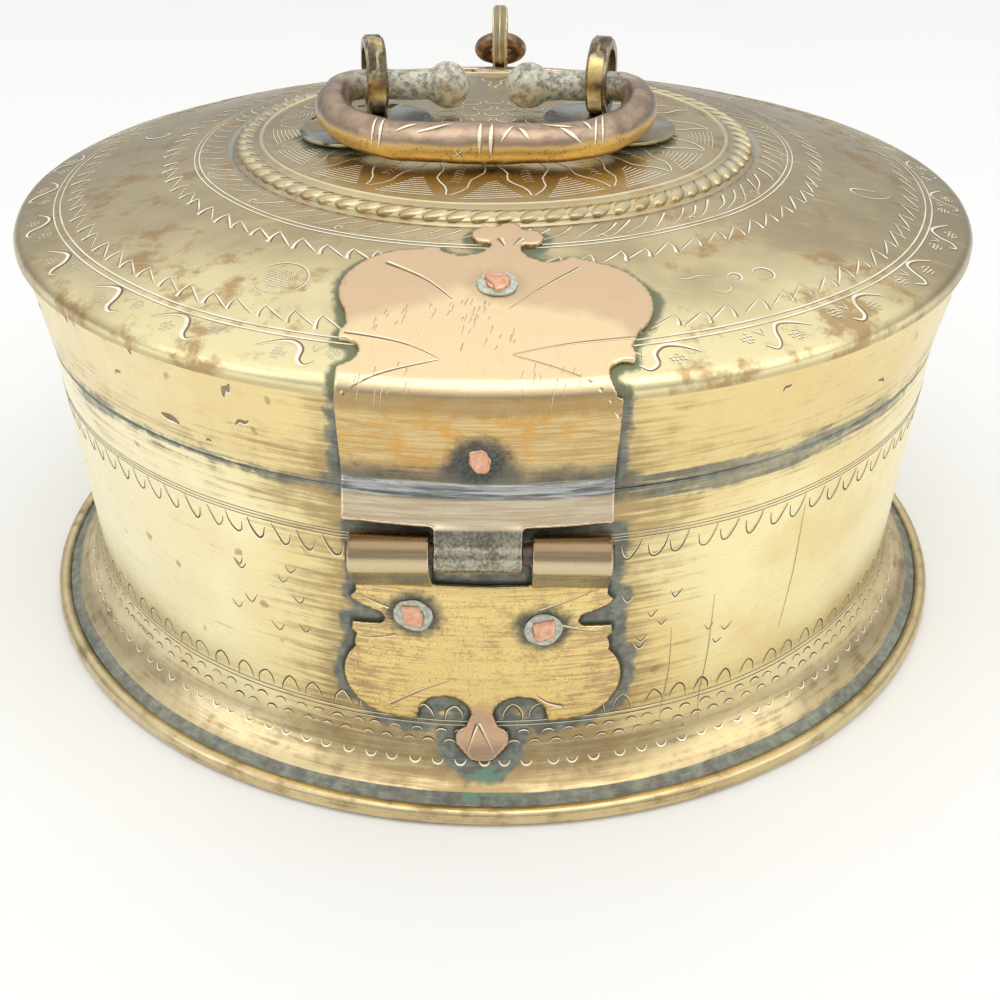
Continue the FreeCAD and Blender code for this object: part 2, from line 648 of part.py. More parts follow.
def build():
    """Every piece of the box by its node name."""
    wall, dome, band = drum_wall(), lid_dome(), lid_side_band()
    collar = mouth_collar()
    rear_low, front_low = lower_plate(pin_radius), to_front(lower_plate(pin_radius + clasp_clearance))
    rear_up = upper_plate(hinge_lean, pin_radius + pin_clearance, dome)
    front_up = to_front(upper_plate(clasp_lean, pin_radius + clasp_clearance, dome))

    # rivet seats, hinge side and clasp side
    low_seats = [wall_seat(across, leaf_top - drop) for across, drop in lower_rivets]
    side_height = knuckle_height + side_rivet_rise
    side_seat = band_seat(side_height)
    lean = math.radians(hinge_lean)
    top_seat = dome_seat(top_rivet_inset * math.sin(lean),
                         knuckle_reach - top_rivet_inset * math.cos(lean), plate)
    low_stack = plate + sheet + washer_thickness
    side_stack = side_seat[0].y * -1 - band_radius(side_height) + sheet + washer_thickness
    top_stack = plate + sheet + washer_thickness

    low_holes = [shank_hole(*seat) for seat in low_seats]
    front_low_holes = [to_front(hole) for hole in low_holes]
    side_hole, top_hole = shank_hole(*side_seat), shank_hole(*top_seat)

    rings = [rivet_ring(seat, out, rear_low) for seat, out in low_seats]
    rivets = [rivet(seat, out, low_stack, ring_thickness) for seat, out in low_seats]
    washers = [inner_washer(seat - out * low_stack, out, wall) for seat, out in low_seats]
    side_rivet = rivet(side_seat[0], side_seat[1], side_stack, 0)
    top_rivet = rivet(top_seat[0], top_seat[1], top_stack, ring_thickness)
    top_ring = rivet_ring(top_seat[0], top_seat[1], rear_up)
    side_washer = inner_washer(side_seat[0] - side_seat[1] * side_stack, side_seat[1], band)
    top_washer = inner_washer(top_seat[0] - top_seat[1] * top_stack, top_seat[1], dome)

    # handle loops, washers and stems
    loops, dishes, stem_washers, stem_holes = [], [], [], []
    for side, turn, place in zip((-1, 1), loop_turns, dish_places):
        across = side * loop_half
        centre = V(across + handle_offset, 0, medallion_height(loop_half) + dish_thickness + loop_outer)
        stack = dish_thickness + sheet + washer_thickness + 0.4
        foot = centre - UP * loop_outer
        loops.append(stemmed_eye(centre, turn, loop_outer, loop_inner, loop_width, stack, stem_radius))
        hole = rod(stem_radius, foot - UP * 8, foot + UP)
        stem_holes.append(hole)
        dishes.append(one(cut_all(dished_washer(place), [hole, loops[-1], dome])))
        stem_washers.append(stem_washer(foot - UP * stack, dome))

    # front eye and its ring
    front_centre = to_front(Part.Vertex(loop_centre(0, front_loop_reach, front_loop_outer, plate))).Point
    front_stack = plate + sheet + washer_thickness + 0.8
    front_foot = front_centre - UP * front_loop_outer
    front_eye = stemmed_eye(front_centre, 0, front_loop_outer, front_loop_inner, front_loop_width, front_stack,
                            stem_radius)
    front_hole = rod(stem_radius, front_foot - UP * 8, front_foot + UP)
    front_up = one(cut_all(front_up, [to_front(side_hole), front_hole]))
    front_eye = one(front_eye.cut(front_up))
    stem_washers.append(stem_washer(front_foot - UP * front_stack, dome))

    handle, slope = resting_handle()
    print("handle axis height %.3f, slope at rest %.2f degrees" % (handle_axis_height(), slope))
    print("front eye centre", front_centre, "dome apex %.2f" % medallion_height(0))

    return {
        "base_tray": base_tray(),
        "drum_wall": one(cut_all(wall, low_holes + front_low_holes)),
        "mouth_collar": collar,
        "rear_lower_plate": one(cut_all(rear_low, low_holes)),
        "rear_lower_rivets": Part.makeCompound(rivets),
        "rear_lower_rivet_rings": Part.makeCompound(rings),
        "rear_hinge_pin": hinge_pin(),
        "front_lower_plate": one(cut_all(front_low, front_low_holes)),
        "front_lower_rivets": Part.makeCompound([to_front(piece) for piece in rivets]),
        "front_lower_rivet_rings": Part.makeCompound([to_front(piece) for piece in rings]),
        "box_inner_washers": Part.makeCompound(washers + [to_front(piece) for piece in washers]),
        "lid_dome": one(cut_all(dome, [top_hole, front_hole] + stem_holes)),
        "lid_side_band": one(cut_all(band, [side_hole, to_front(side_hole)])),
        "rear_upper_plate": one(cut_all(rear_up, [side_hole, top_hole])),
        "rear_upper_rivets": Part.makeCompound([side_rivet, top_rivet]),
        "rear_upper_rivet_ring": top_ring,
        "front_upper_plate": front_up,
        "front_upper_rivet": to_front(side_rivet),
        "lid_inner_washers": Part.makeCompound([side_washer, to_front(side_washer), top_washer]),
        "handle_loop_left": loops[0],
        "handle_loop_right": loops[1],
        "loop_washer_left": dishes[0],
        "loop_washer_right": dishes[1],
        "loop_inner_washers": Part.makeCompound(stem_washers),
        "front_loop": front_eye,
        "carrying_handle": handle,
        "pull_ring": pull_ring(front_centre),
    }


os.makedirs("parts", exist_ok=True)
for name, shape in build().items():
    shape.exportStep("parts/%s.step" % name)
    print("%-24s solids %d  volume %9.1f" % (name, len(shape.Solids), shape.Volume), shape.isValid())
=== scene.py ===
# %% [markdown]
# # Chapati box
# A round brass box for flatbreads, with a hinged lid, a carrying handle and engraved bands.
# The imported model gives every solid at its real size. This lesson dresses those solids:
# the big turned sheets are spun again with dents in them, the plates and castings are worn
# at their edges, the engraving is cut stroke by stroke, and old grime gathers in the corners.

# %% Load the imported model
import json
import math
import random

import bmesh
import bpy
from mathutils import Matrix, Vector
from mathutils.bvhtree import BVHTree


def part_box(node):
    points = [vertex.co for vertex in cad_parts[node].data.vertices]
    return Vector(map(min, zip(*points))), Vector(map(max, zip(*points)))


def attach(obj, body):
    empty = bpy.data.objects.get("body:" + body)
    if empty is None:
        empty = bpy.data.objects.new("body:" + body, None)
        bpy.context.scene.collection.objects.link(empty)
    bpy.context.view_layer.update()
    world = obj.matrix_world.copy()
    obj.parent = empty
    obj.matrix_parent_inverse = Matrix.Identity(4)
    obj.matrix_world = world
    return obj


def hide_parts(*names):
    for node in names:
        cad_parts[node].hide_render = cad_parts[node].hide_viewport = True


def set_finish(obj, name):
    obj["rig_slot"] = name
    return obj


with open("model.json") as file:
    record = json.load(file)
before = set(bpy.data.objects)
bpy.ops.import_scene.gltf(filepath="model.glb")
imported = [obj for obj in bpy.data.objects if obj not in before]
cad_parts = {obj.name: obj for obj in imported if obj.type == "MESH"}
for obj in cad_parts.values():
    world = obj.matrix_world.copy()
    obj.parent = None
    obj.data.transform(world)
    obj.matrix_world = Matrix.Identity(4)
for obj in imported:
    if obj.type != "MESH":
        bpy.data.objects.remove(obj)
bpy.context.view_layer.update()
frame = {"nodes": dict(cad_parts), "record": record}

# %% [markdown]
# The camera stands where the photographer stood: a little above the lid, close to the hinge.
# Its place was found by fitting the ellipses of the lid, the seam and the foot.

# %% The camera
MM = 0.001
PHOTO_LENS = 48.72            # millimetres on a 36 mm sensor
CAMERA_PLACE = Vector((7.80, -357.6, 224.7)) * MM
CAMERA_DOWN = math.radians(30.965)
CAMERA_HEADING = math.radians(0.923)
CAMERA_ROLL = math.radians(0.24)


def add_camera():
    """The photograph's viewpoint, as the scene's camera."""
    camera = bpy.data.objects.new("camera", bpy.data.cameras.new("camera"))
    camera.data.lens = PHOTO_LENS
    camera.data.sensor_width = 36.0
    camera.data.clip_start = 0.01
    turn = Matrix.Rotation(CAMERA_HEADING, 4, "Z") @ Matrix.Rotation(math.pi / 2 - CAMERA_DOWN, 4, "X")
    camera.matrix_world = Matrix.Translation(CAMERA_PLACE) @ turn @ Matrix.Rotation(CAMERA_ROLL, 4, "Z")
    bpy.context.scene.collection.objects.link(camera)
    bpy.context.scene.camera = camera
    return camera


add_camera()
print("camera at", [round(v, 4) for v in CAMERA_PLACE])

# %% [markdown]
# A few helpers come first. Blender's operators act on whatever is selected, so one helper
# selects a single object, one runs edit-mode steps, and one adds a modifier and applies it.
# Every finished piece then gets its body, its material slot and the node it stands for.

# %% Helpers for modelling with operators
def pick(thing):
    """Makes this object the only one that operators act on."""
    bpy.ops.object.select_all(action="DESELECT")
    thing.select_set(True)
    bpy.context.view_layer.objects.active = thing


def add_object(name, mesh):
    thing = bpy.data.objects.new(name, mesh)
    bpy.context.scene.collection.objects.link(thing)
    return thing


def apply_modifier(thing, kind, **settings):
    """Adds one modifier with its settings and applies it at once."""
    pick(thing)
    modifier = thing.modifiers.new(kind.lower(), kind)
    for name, value in settings.items():
        setattr(modifier, name, value)
    bpy.ops.object.modifier_apply(modifier=modifier.name)


def smooth_shade(thing, degrees=30):
    pick(thing)
    bpy.ops.object.shade_smooth_by_angle(angle=math.radians(degrees))


def dress(piece, body, slot, *nodes):
    """Says which body a piece rides on, its material slot and the nodes that it stands for."""
    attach(piece, body)
    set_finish(piece, slot)
    if nodes:
        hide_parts(*nodes)
    print(piece.name, len(piece.data.polygons), "faces on", body)


print("helpers ready")

# %% [markdown]
# Old sheet brass is never quite even. A Displace modifier with a soft cloud texture pushes the
# surface in and out by a few tenths of a millimetre, and that is enough to make reflections
# wander as they do on beaten metal.

# %% Dents
def cloud(name, size):
    """A soft procedural noise with lumps of about this size in millimetres."""
    texture = bpy.data.textures.new(name, "CLOUDS")
    texture.noise_scale = size * MM
    texture.noise_depth = 1
    return texture


BROAD_DENTS = cloud("broad_dents", 26)
SMALL_DENTS = cloud("small_dents", 7)


def dent(piece, texture, depth, rest=0.5):
    """Pushes the surface in and out by this depth in millimetres. With a rest of 1 only inwards."""
    apply_modifier(piece, "DISPLACE", texture=texture, texture_coords="LOCAL", strength=depth * MM,
                   mid_level=rest)


print("dents:", BROAD_DENTS.name, SMALL_DENTS.name)

# %% [markdown]
# Castings and thick plates come over from the CAD as loose triangles with knife edges. A copy
# is merged into one skin and its edges are bevelled. The bevel's faces are put in a second
# material slot, meant for a worn edge that is brighter than the face beside it, though every
# piece later gets a single finish on all its faces.

# %% Worn copies of CAD nodes
def merged_copy(name, nodes, gap=0.004):
    """One new object with the merged meshes of some CAD nodes."""
    net = bmesh.new()
    for node in nodes:
        net.from_mesh(frame["nodes"][node].data)
    bmesh.ops.remove_doubles(net, verts=net.verts, dist=gap * MM)
    bmesh.ops.dissolve_limit(net, angle_limit=math.radians(1.0), verts=net.verts, edges=net.edges)
    mesh = bpy.data.meshes.new(name)
    net.to_mesh(mesh)
    net.free()
    return add_object(name, mesh)


def worn_copy(name, nodes, width, degrees=35, segments=2):
    """A merged copy with bevelled edges, whose bevels use the second material."""
    copy = merged_copy(name, nodes)
    copy.data.materials.append(None)
    copy.data.materials.append(None)
    apply_modifier(copy, "BEVEL", width=width * MM, segments=segments, limit_method="ANGLE",
                   angle_limit=math.radians(degrees), material=1, use_clamp_overlap=True,
                   harden_normals=False)
    smooth_shade(copy, 40)
    return copy


print("castings and plates:", [name for name in frame["nodes"] if "plate" in name or "loop" in name])

# %% [markdown]
# The four turned sheets are the wall, the lid's side, the lid's dome and the rolled foot.
# A section is drawn as (radius, height) in millimetres and spun round the box's axis with the
# spin operator. Heights are measured from the CAD nodes, so the new skins lie on the old ones.

# %% Spun sheets
SHEET = 1.2
SPIN_STEPS = 480


def heights(node):
    """Lowest and highest point of a node in millimetres."""
    low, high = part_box(node)
    return low.z / MM, high.z / MM


def reach_of(node):
    """Largest radius of a round node in millimetres."""
    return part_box(node)[1].x / MM


def divided(start, end, pitch):
    """Points from start to end, about one pitch apart, without the last."""
    count = max(1, round((end - start).length / pitch))
    return [start.lerp(end, k / count) for k in range(count)]


def spun(name, points, steps=SPIN_STEPS):
    """A closed section spun into a solid of revolution."""
    rim = [(p.x * MM, 0, p.y * MM) for p in points]
    edges = [(k, (k + 1) % len(rim)) for k in range(len(rim))]
    mesh = bpy.data.meshes.new(name)
    mesh.from_pydata(rim, edges, [])
    thing = add_object(name, mesh)
    pick(thing)
    bpy.ops.object.mode_set(mode="EDIT")
    bpy.ops.mesh.select_all(action="SELECT")
    bpy.ops.mesh.spin(steps=steps, angle=math.tau, center=(0, 0, 0), axis=(0, 0, 1))
    bpy.ops.mesh.select_all(action="SELECT")
    bpy.ops.mesh.remove_doubles(threshold=0.002 * MM)
    bpy.ops.mesh.normals_make_consistent(inside=False)
    bpy.ops.object.mode_set(mode="OBJECT")
    return thing


print("a spin of", SPIN_STEPS, "steps, one for each", round(math.tau * 120 / SPIN_STEPS, 2), "mm of wall")

# %% [markdown]
# The wall leans out from its waist to its mouth and flares to the foot in a hollow curve.
# The flare is an arc that is upright at the waist and ends at the rolled edge.

# %% The drum wall
SEAM_RADIUS = 119.5
WAIST_RADIUS = 115.5
WAIST_HEIGHT = 20.5
FOOT_EDGE_WIDTH = 3.6
FINE = 1.3                    # pitch of the divisions along a section, in millimetres
flare_foot, seam_height = heights("drum_wall")
foot_radius = reach_of("base_tray")


def flare_arc(offset, low, count=14):
    """The hollow curve from the waist down to the rolled edge, moved inwards by an offset."""
    run = foot_radius - FOOT_EDGE_WIDTH - WAIST_RADIUS
    fall = WAIST_HEIGHT - 3.4
    radius = (run ** 2 + fall ** 2) / (2 * run)
    last = math.asin((WAIST_HEIGHT - low) / (radius + offset))
    centre = Vector((WAIST_RADIUS + radius, WAIST_HEIGHT))
    turns = [last * k / count for k in range(count + 1)]
    return [centre + Vector((-math.cos(t), -math.sin(t))) * (radius + offset) for t in turns]


def wall_section():
    """Outside going down, then the inside going up."""
    outside = divided(Vector((SEAM_RADIUS, seam_height)), Vector((WAIST_RADIUS, WAIST_HEIGHT)), FINE)
    outside += flare_arc(0, 3.4)
    inside = list(reversed(flare_arc(SHEET, flare_foot)))
    inside += [Vector((SEAM_RADIUS - SHEET, seam_height))]
    return outside + inside


wall = spun("wall_sheet", wall_section())
dent(wall, BROAD_DENTS, 0.45)
smooth_shade(wall)
dress(wall, "box_body", "wall_brass", "drum_wall")

# %% [markdown]
# The lid's side is a plain cone. Its lower edge has been opened and shut for decades, so a
# finer dent goes on top of the broad one.

# %% The lid's side
BAND_FOOT_RADIUS = 119.6
BAND_TOP_RADIUS = 123.3
band_foot, shoulder_height = heights("lid_side_band")
BAND_TOP = band_foot + 22.7


def band_section():
    outside = divided(Vector((BAND_TOP_RADIUS, BAND_TOP)), Vector((BAND_FOOT_RADIUS, band_foot)), FINE)
    foot = [Vector((BAND_FOOT_RADIUS, band_foot)), Vector((BAND_FOOT_RADIUS - SHEET, band_foot))]
    inside = [Vector((BAND_TOP_RADIUS - SHEET, BAND_TOP)), Vector((BAND_TOP_RADIUS - SHEET, shoulder_height))]
    return outside + foot + inside + [Vector((BAND_TOP_RADIUS, shoulder_height))]


band = spun("lid_side_sheet", band_section())
dent(band, BROAD_DENTS, 0.3)
smooth_shade(band)
dress(band, "lid", "wall_brass", "lid_side_band")

# %% [markdown]
# The dome is part of a large sphere. Its round centre stands a little higher, inside a thin
# bead, and between the bead and a hollow groove lies a rope: a rounded ring with slanting
# cuts. The rope is its own ring, so that its cuts can be real.

# %% The dome
DOME_RADIUS = 427.0
MEDALLION_RISE = 0.9
SHOULDER_ROUND = 3.2
SKIRT = 1.2
BEAD = (60.0, 60.9, 61.9)
BEAD_RISE = 0.5
ROPE_OUTER = 67.6
GROOVE = (68.4, 69.4)
GROOVE_DEPTH = 0.5
apex = heights("lid_dome")[1]
dome_centre = apex - MEDALLION_RISE - DOME_RADIUS
shoulder_radius = reach_of("lid_dome")


def dome_height(radius, lift=0.0):
    return dome_centre + math.sqrt((DOME_RADIUS + lift) ** 2 - radius ** 2)


def on_dome(radius, rise=0.0):
    return Vector((radius, dome_height(radius) + rise))


def shoulder_arc(lift, count=6):
    """The rounded shoulder from the dome to the turned-down edge."""
    centre = Vector((shoulder_radius - SHOULDER_ROUND, shoulder_height))
    start = math.acos(centre.x / (DOME_RADIUS - SHOULDER_ROUND))
    turns = [start * (1 - k / count) for k in range(count + 1)]
    return [centre + Vector((math.cos(t), math.sin(t))) * (SHOULDER_ROUND + lift) for t in turns]


def steps_between(start, end, pitch=FINE):
    count = round((end - start) / pitch)
    return [start + (end - start) * k / count for k in range(count)]


def dome_section():
    """From the middle of the top out to the shoulder, and back underneath."""
    top = [on_dome(r, MEDALLION_RISE) for r in steps_between(0, BEAD[0], 2.0)]
    top += [on_dome(BEAD[0], MEDALLION_RISE), on_dome(BEAD[1], MEDALLION_RISE + BEAD_RISE)]
    top += [on_dome(BEAD[2], MEDALLION_RISE + BEAD_RISE / 2)]
    top += [on_dome(r, MEDALLION_RISE * (ROPE_OUTER - r) / 6) for r in steps_between(BEAD[2] + 1, ROPE_OUTER)]
    top += [on_dome(ROPE_OUTER), on_dome(GROOVE[0] - 0.3, -GROOVE_DEPTH * 0.7)]
    top += [on_dome(GROOVE[0], -GROOVE_DEPTH), on_dome(GROOVE[0] + 0.4, -GROOVE_DEPTH * 0.6)]
    top += [on_dome(r) for r in steps_between(GROOVE[1], shoulder_arc(0)[0].x - 0.5)]
    top += shoulder_arc(0)
    edge = [Vector((shoulder_radius, shoulder_height - SKIRT)),
            Vector((shoulder_radius - SHEET, shoulder_height - SKIRT))]
    under = list(reversed(shoulder_arc(-SHEET)))
    under += [Vector((r, dome_height(r, -SHEET))) for r in (110, 100, 90, 80, ROPE_OUTER)]
    under += [Vector((r, dome_height(r, -SHEET) + MEDALLION_RISE)) for r in (BEAD[0], 45, 30, 15, 0)]
    return top + edge + under


dome = spun("dome_sheet", dome_section())
dent(dome, BROAD_DENTS, 0.3)
smooth_shade(dome)
dress(dome, "lid", "lid_brass", "lid_dome")
print("dome apex", round(apex, 2), "shoulder", round(shoulder_radius, 2), round(shoulder_height, 2))

# %% [markdown]
# The rope is a rounded ring with slanting pillows on it. The ring is spun. One pillow is a
# ball, stretched and turned aslant with operators, copied round the ring and joined to it.

# %% The rope ring
ROPE_LOBES = 76
ROPE_MIDDLE = 64.75
ROPE_HALF_WIDTH = 2.7
ROPE_RISE = 1.1
ROPE_SLANT = -33


def rope_core():
    """A low round ring under the lobes."""
    turns = [math.tau * k / 18 for k in range(18)]
    section = [on_dome(ROPE_MIDDLE + ROPE_HALF_WIDTH * math.cos(t), ROPE_RISE * math.sin(t)) for t in turns]
    return spun("rope_ring", section)


def rope_lobe():
    """One lobe, lying on the dome at the hinge side."""
    place = Vector((0, -ROPE_MIDDLE, dome_height(ROPE_MIDDLE) + 0.1)) * MM
    bpy.ops.object.select_all(action="DESELECT")
    bpy.ops.mesh.primitive_uv_sphere_add(segments=16, ring_count=8, radius=1.0 * MM, location=place)
    lobe = bpy.context.object
    bpy.ops.object.mode_set(mode="EDIT")
    bpy.ops.mesh.select_all(action="SELECT")
    bpy.ops.transform.resize(value=(4.5, 2.2, 1.28), center_override=place)
    bpy.ops.transform.rotate(value=math.radians(ROPE_SLANT), orient_axis="Z", center_override=place)
    bpy.ops.object.mode_set(mode="OBJECT")
    bpy.ops.object.transform_apply(location=True, rotation=True, scale=True)
    return lobe


def ring_of_copies(first, count):
    """Copies of one object round the box's axis, joined into it."""
    copies = []
    for k in range(1, count):
        copy = add_object(first.name, first.data.copy())
        copy.data.transform(Matrix.Rotation(math.tau * k / count, 4, "Z"))
        copies.append(copy)
    pick(first)
    for copy in copies:
        copy.select_set(True)
    bpy.ops.object.join()
    return first


lobes = ring_of_copies(rope_lobe(), ROPE_LOBES)
rope = rope_core()
pick(rope)
lobes.select_set(True)
bpy.ops.object.join()
smooth_shade(rope, 60)
dress(rope, "lid", "lid_brass", "lid_dome")

# %% [markdown]
# The foot's rolled edge is turned too: a flat disc whose rim is a round bead. It is spun like
# the wall and dented inwards only, so that it never stands outside its true size. The inner lip
# is hidden while the lid is shut, so the CAD's own mesh is copied and only its edges are eased.

# %% The rolled foot and the inner lip
FOOT_EDGE_HEIGHT = 4.6


def tray_section():
    round_radius = FOOT_EDGE_WIDTH / 2
    centre = Vector((foot_radius - round_radius, FOOT_EDGE_HEIGHT - round_radius))
    turns = [math.pi * k / 12 for k in range(13)]
    rim = [centre + Vector((math.cos(t), math.sin(t))) * round_radius for t in turns]
    inner = foot_radius - FOOT_EDGE_WIDTH
    floor_top = [Vector((r, SHEET)) for r in (inner, 90, 45, 0)]
    floor_under = [Vector((r, 0)) for r in (0, 45, 90, foot_radius - SHEET)]
    return rim + floor_top + floor_under + [Vector((foot_radius, SHEET))]


tray = spun("rolled_foot", tray_section())
dent(tray, BROAD_DENTS, 0.12, rest=1.0)
smooth_shade(tray, 40)
dress(tray, "box_body", "wall_brass", "base_tray")

collar = merged_copy("inner_lip", ["mouth_collar"])
apply_modifier(collar, "BEVEL", width=0.25 * MM, segments=2, limit_method="ANGLE", angle_limit=math.radians(30))
smooth_shade(collar, 40)
dress(collar, "box_body", "wall_brass", "mouth_collar")

# %% [markdown]
# The four plates were sawn from thick sheet, bent over the lid and filed, and their edges are
# rounded by use. A voxel remesh gives each one an even skin of small squares. A few rounds of
# smoothing then wear the edges down as fingers do, and the same skins can be dented.

# %% Soft skins for plates and castings
def worn_skin(name, node, voxel, rounds):
    """A node remeshed as one even skin with its edges worn round."""
    skin = merged_copy(name, [node])
    apply_modifier(skin, "REMESH", mode="VOXEL", voxel_size=voxel * MM)
    apply_modifier(skin, "SMOOTH", iterations=rounds, factor=0.5)
    return skin


PLATES = {"rear_upper_plate": "lid", "rear_lower_plate": "box_body",
          "front_upper_plate": "lid", "front_lower_plate": "box_body"}
plates = {}
for node, body in PLATES.items():
    plates[node] = worn_skin(node.replace("plate", "leaf"), node, 0.42, 4)
    dent(plates[node], SMALL_DENTS, 0.12)
    smooth_shade(plates[node], 60)
    dress(plates[node], body, "plate_brass", node)

# %% [markdown]
# The eyes that carry the handle and the pull ring are cast flat rings, bevelled with a file.
# A wide bevel is already in the solid, and this one only softens it.

# %% The three eyes and the dished washers
eyes = []
dishes = []
for node in ("handle_loop_left", "handle_loop_right", "front_loop"):
    eye = worn_copy(node.replace("loop", "eye"), [node], 0.3, 25)
    dent(eye, SMALL_DENTS, 0.35, rest=1.0)
    dress(eye, "lid", "cast_loops", node)
    eyes.append(eye)

for node in ("loop_washer_left", "loop_washer_right"):
    dish = worn_copy(node.replace("loop_washer", "dish"), [node], 0.2)
    dent(dish, SMALL_DENTS, 0.25)
    dress(dish, "lid", "washer_metal", node)
    dishes.append(dish)

# %% [markdown]
# The handle and the pull ring were cast and filed by hand, so no stretch of them is a true
# cylinder. They get the same kind of skin, smoothed for longer and dented more.

# %% The handle and the pull ring
handle = worn_skin("bail_handle", "carrying_handle", 0.55, 10)
dent(handle, SMALL_DENTS, 0.55)
smooth_shade(handle, 60)
dress(handle, "carrying_handle", "handle_bronze", "carrying_handle")

ring = worn_skin("small_ring", "pull_ring", 0.4, 4)
dent(ring, SMALL_DENTS, 0.4)
smooth_shade(ring, 60)
dress(ring, "pull_ring", "ring_bronze", "pull_ring")

# %% [markdown]
# The copper rivets were hammered with a square punch, so their heads are lopsided blocks with
# soft corners, and round each lies an uneven ring of grey solder. A fine voxel remesh melts the
# corners of the solids, and a dent as small as the head makes no two of them alike.

# %% Rivets and their solder rings
RIVETS = {"rear_upper_rivets": "lid", "rear_lower_rivets": "box_body",
          "front_upper_rivet": "lid", "front_lower_rivets": "box_body"}
RIVET_RINGS = {"rear_upper_rivet_ring": "lid", "rear_lower_rivet_rings": "box_body",
               "front_lower_rivet_rings": "box_body"}
HEAD_DENTS = cloud("head_dents", 2.6)
for node, body in RIVETS.items():
    shank = worn_skin(node.replace("rivet", "copper_shank"), node, 0.22, 6)
    smooth_shade(shank, 60)
    dress(shank, body, "rivet_copper", node)

for node, body in RIVET_RINGS.items():
    solder = worn_skin(node.replace("rivet_ring", "solder_ring"), node, 0.2, 5)
    dent(solder, HEAD_DENTS, 0.6)
    smooth_shade(solder, 60)
    dress(solder, body, "pale_ring", node)

# %% [markdown]
# Each copper head was struck into its own crooked shape. A circle with as many corners as the
# head is pulled to that outline, extruded and drawn in at the top, and its edges are bevelled.

# %% Hammered heads
PIN_REACH = 124.2
PLATE_THICKNESS = 1.3
WALL_SLOPE = (SEAM_RADIUS - WAIST_RADIUS) / (seam_height - WAIST_HEIGHT)


def seat_on_wall(across, height, lift):
    """A place on the wall and its outward direction, on the hinge side."""
    radius = WAIST_RADIUS + WALL_SLOPE * (height - WAIST_HEIGHT)
    angle = math.asin(across / radius)
    outward = Vector((math.sin(angle), -math.cos(angle), 0))
    return outward * (radius + lift) + Vector((0, 0, height)), outward


def seat_on_dome(x, y, lift):
    base = Vector((x, y, dome_height(math.hypot(x, y))))
    outward = (base - Vector((0, 0, dome_centre))).normalized()
    return base + outward * lift, outward


def seat_on_plate(node, across, height):
    """A place on a hinge-side plate's standing face, measured beside the rivet's bore."""
    skin = BVHTree.FromObject(plates[node], bpy.context.evaluated_depsgraph_get())
    beside = skin.ray_cast(Vector((across + 4, -200, height)) * MM, Vector((0, 1, 0)))[0] / MM
    return Vector((across, beside.y, height)), Vector((0, -1, 0))


def hammered_head(name, body, seat, outline, rise, turn=0.0):
    """A copper head with this outline, in millimetres across and up, standing on its seat."""
    place, outward = seat
    bpy.ops.object.select_all(action="DESELECT")
    bpy.ops.mesh.primitive_circle_add(vertices=len(outline), radius=MM, fill_type="NGON", location=(0, 0, 0))
    head = bpy.context.object
    head.name = name
    for vertex, (u, v) in zip(head.data.vertices, outline):
        vertex.co = Vector((u, v, 0)) * MM
    bpy.ops.object.mode_set(mode="EDIT")
    bpy.ops.mesh.select_all(action="SELECT")
    bpy.ops.mesh.extrude_region_move(TRANSFORM_OT_translate={"value": (0, 0, rise * MM)})
    bpy.ops.transform.resize(value=(0.86, 0.86, 1.0))
    bpy.ops.mesh.select_all(action="SELECT")
    bpy.ops.mesh.normals_make_consistent(inside=False)
    bpy.ops.object.mode_set(mode="OBJECT")
    apply_modifier(head, "BEVEL", width=0.35 * MM, segments=3, limit_method="ANGLE", angle_limit=math.radians(25))
    apply_modifier(head, "REMESH", mode="VOXEL", voxel_size=0.16 * MM)
    apply_modifier(head, "SMOOTH", iterations=3, factor=0.5)
    side = Vector((0, 0, 1)).cross(outward).normalized()
    frame_of_seat = Matrix((side, outward.cross(side), outward)).transposed().to_4x4()
    spin_about = Matrix.Rotation(turn, 4, "Z")
    head.data.transform(spin_about @ Matrix.Translation(place * MM) @ frame_of_seat)
    dent(head, HEAD_DENTS, 0.35)
    smooth_shade(head, 60)
    dress(head, body, "rivet_copper")


LEFT_HEAD = ((-2.6, 2.9), (1.6, 3.2), (2.6, -0.8), (2.2, -3.0), (-1.8, -2.5), (-2.6, 1.0))
RIGHT_HEAD = ((-2.8, 2.2), (2.5, 3.2), (2.9, -1.7), (-1.4, -3.4), (-2.5, -2.1))
SIDE_HEAD = ((-2.4, 2.6), (0.5, 3.2), (1.6, 2.3), (2.3, -1.7), (1.6, -2.9), (-0.7, -2.9), (-2.1, -1.2))
TOP_HEAD = ((-3.0, 3.0), (-2.0, 3.8), (0.6, 3.6), (2.5, 2.6), (2.9, 0.5), (2.5, -1.4), (1.2, -2.6),
            (-0.3, -3.5), (-0.9, -2.6), (-1.2, -0.9), (-2.1, 0.2), (-3.0, 1.7))
left_seat = seat_on_wall(-14.8, 51.4, PLATE_THICKNESS)
right_seat = seat_on_wall(13.5, 48.0, PLATE_THICKNESS)
side_seat = seat_on_plate("rear_upper_plate", 0.0, 92.8)
top_seat = seat_on_dome(2.90, -94.04, PLATE_THICKNESS)
hammered_head("rear_left_head", "box_body", left_seat, LEFT_HEAD, 1.3)
hammered_head("rear_right_head", "box_body", right_seat, RIGHT_HEAD, 1.3)
hammered_head("front_left_head", "box_body", left_seat, RIGHT_HEAD, 1.3, math.pi)
hammered_head("front_right_head", "box_body", right_seat, LEFT_HEAD, 1.3, math.pi)
hammered_head("rear_top_head", "lid", top_seat, TOP_HEAD, 1.3)
hammered_head("rear_side_head", "lid", side_seat, SIDE_HEAD, 0.9)
hammered_head("front_side_head", "lid", side_seat, SIDE_HEAD, 0.9, math.pi)

# %% [markdown]
# Materials are written as sums. One small class wraps a socket of a material's node tree, so
# that an expression such as 1 - mask * 0.5 adds the Math nodes by itself. Its node method adds
# any other node: the settings first, then the values or links of its sockets.

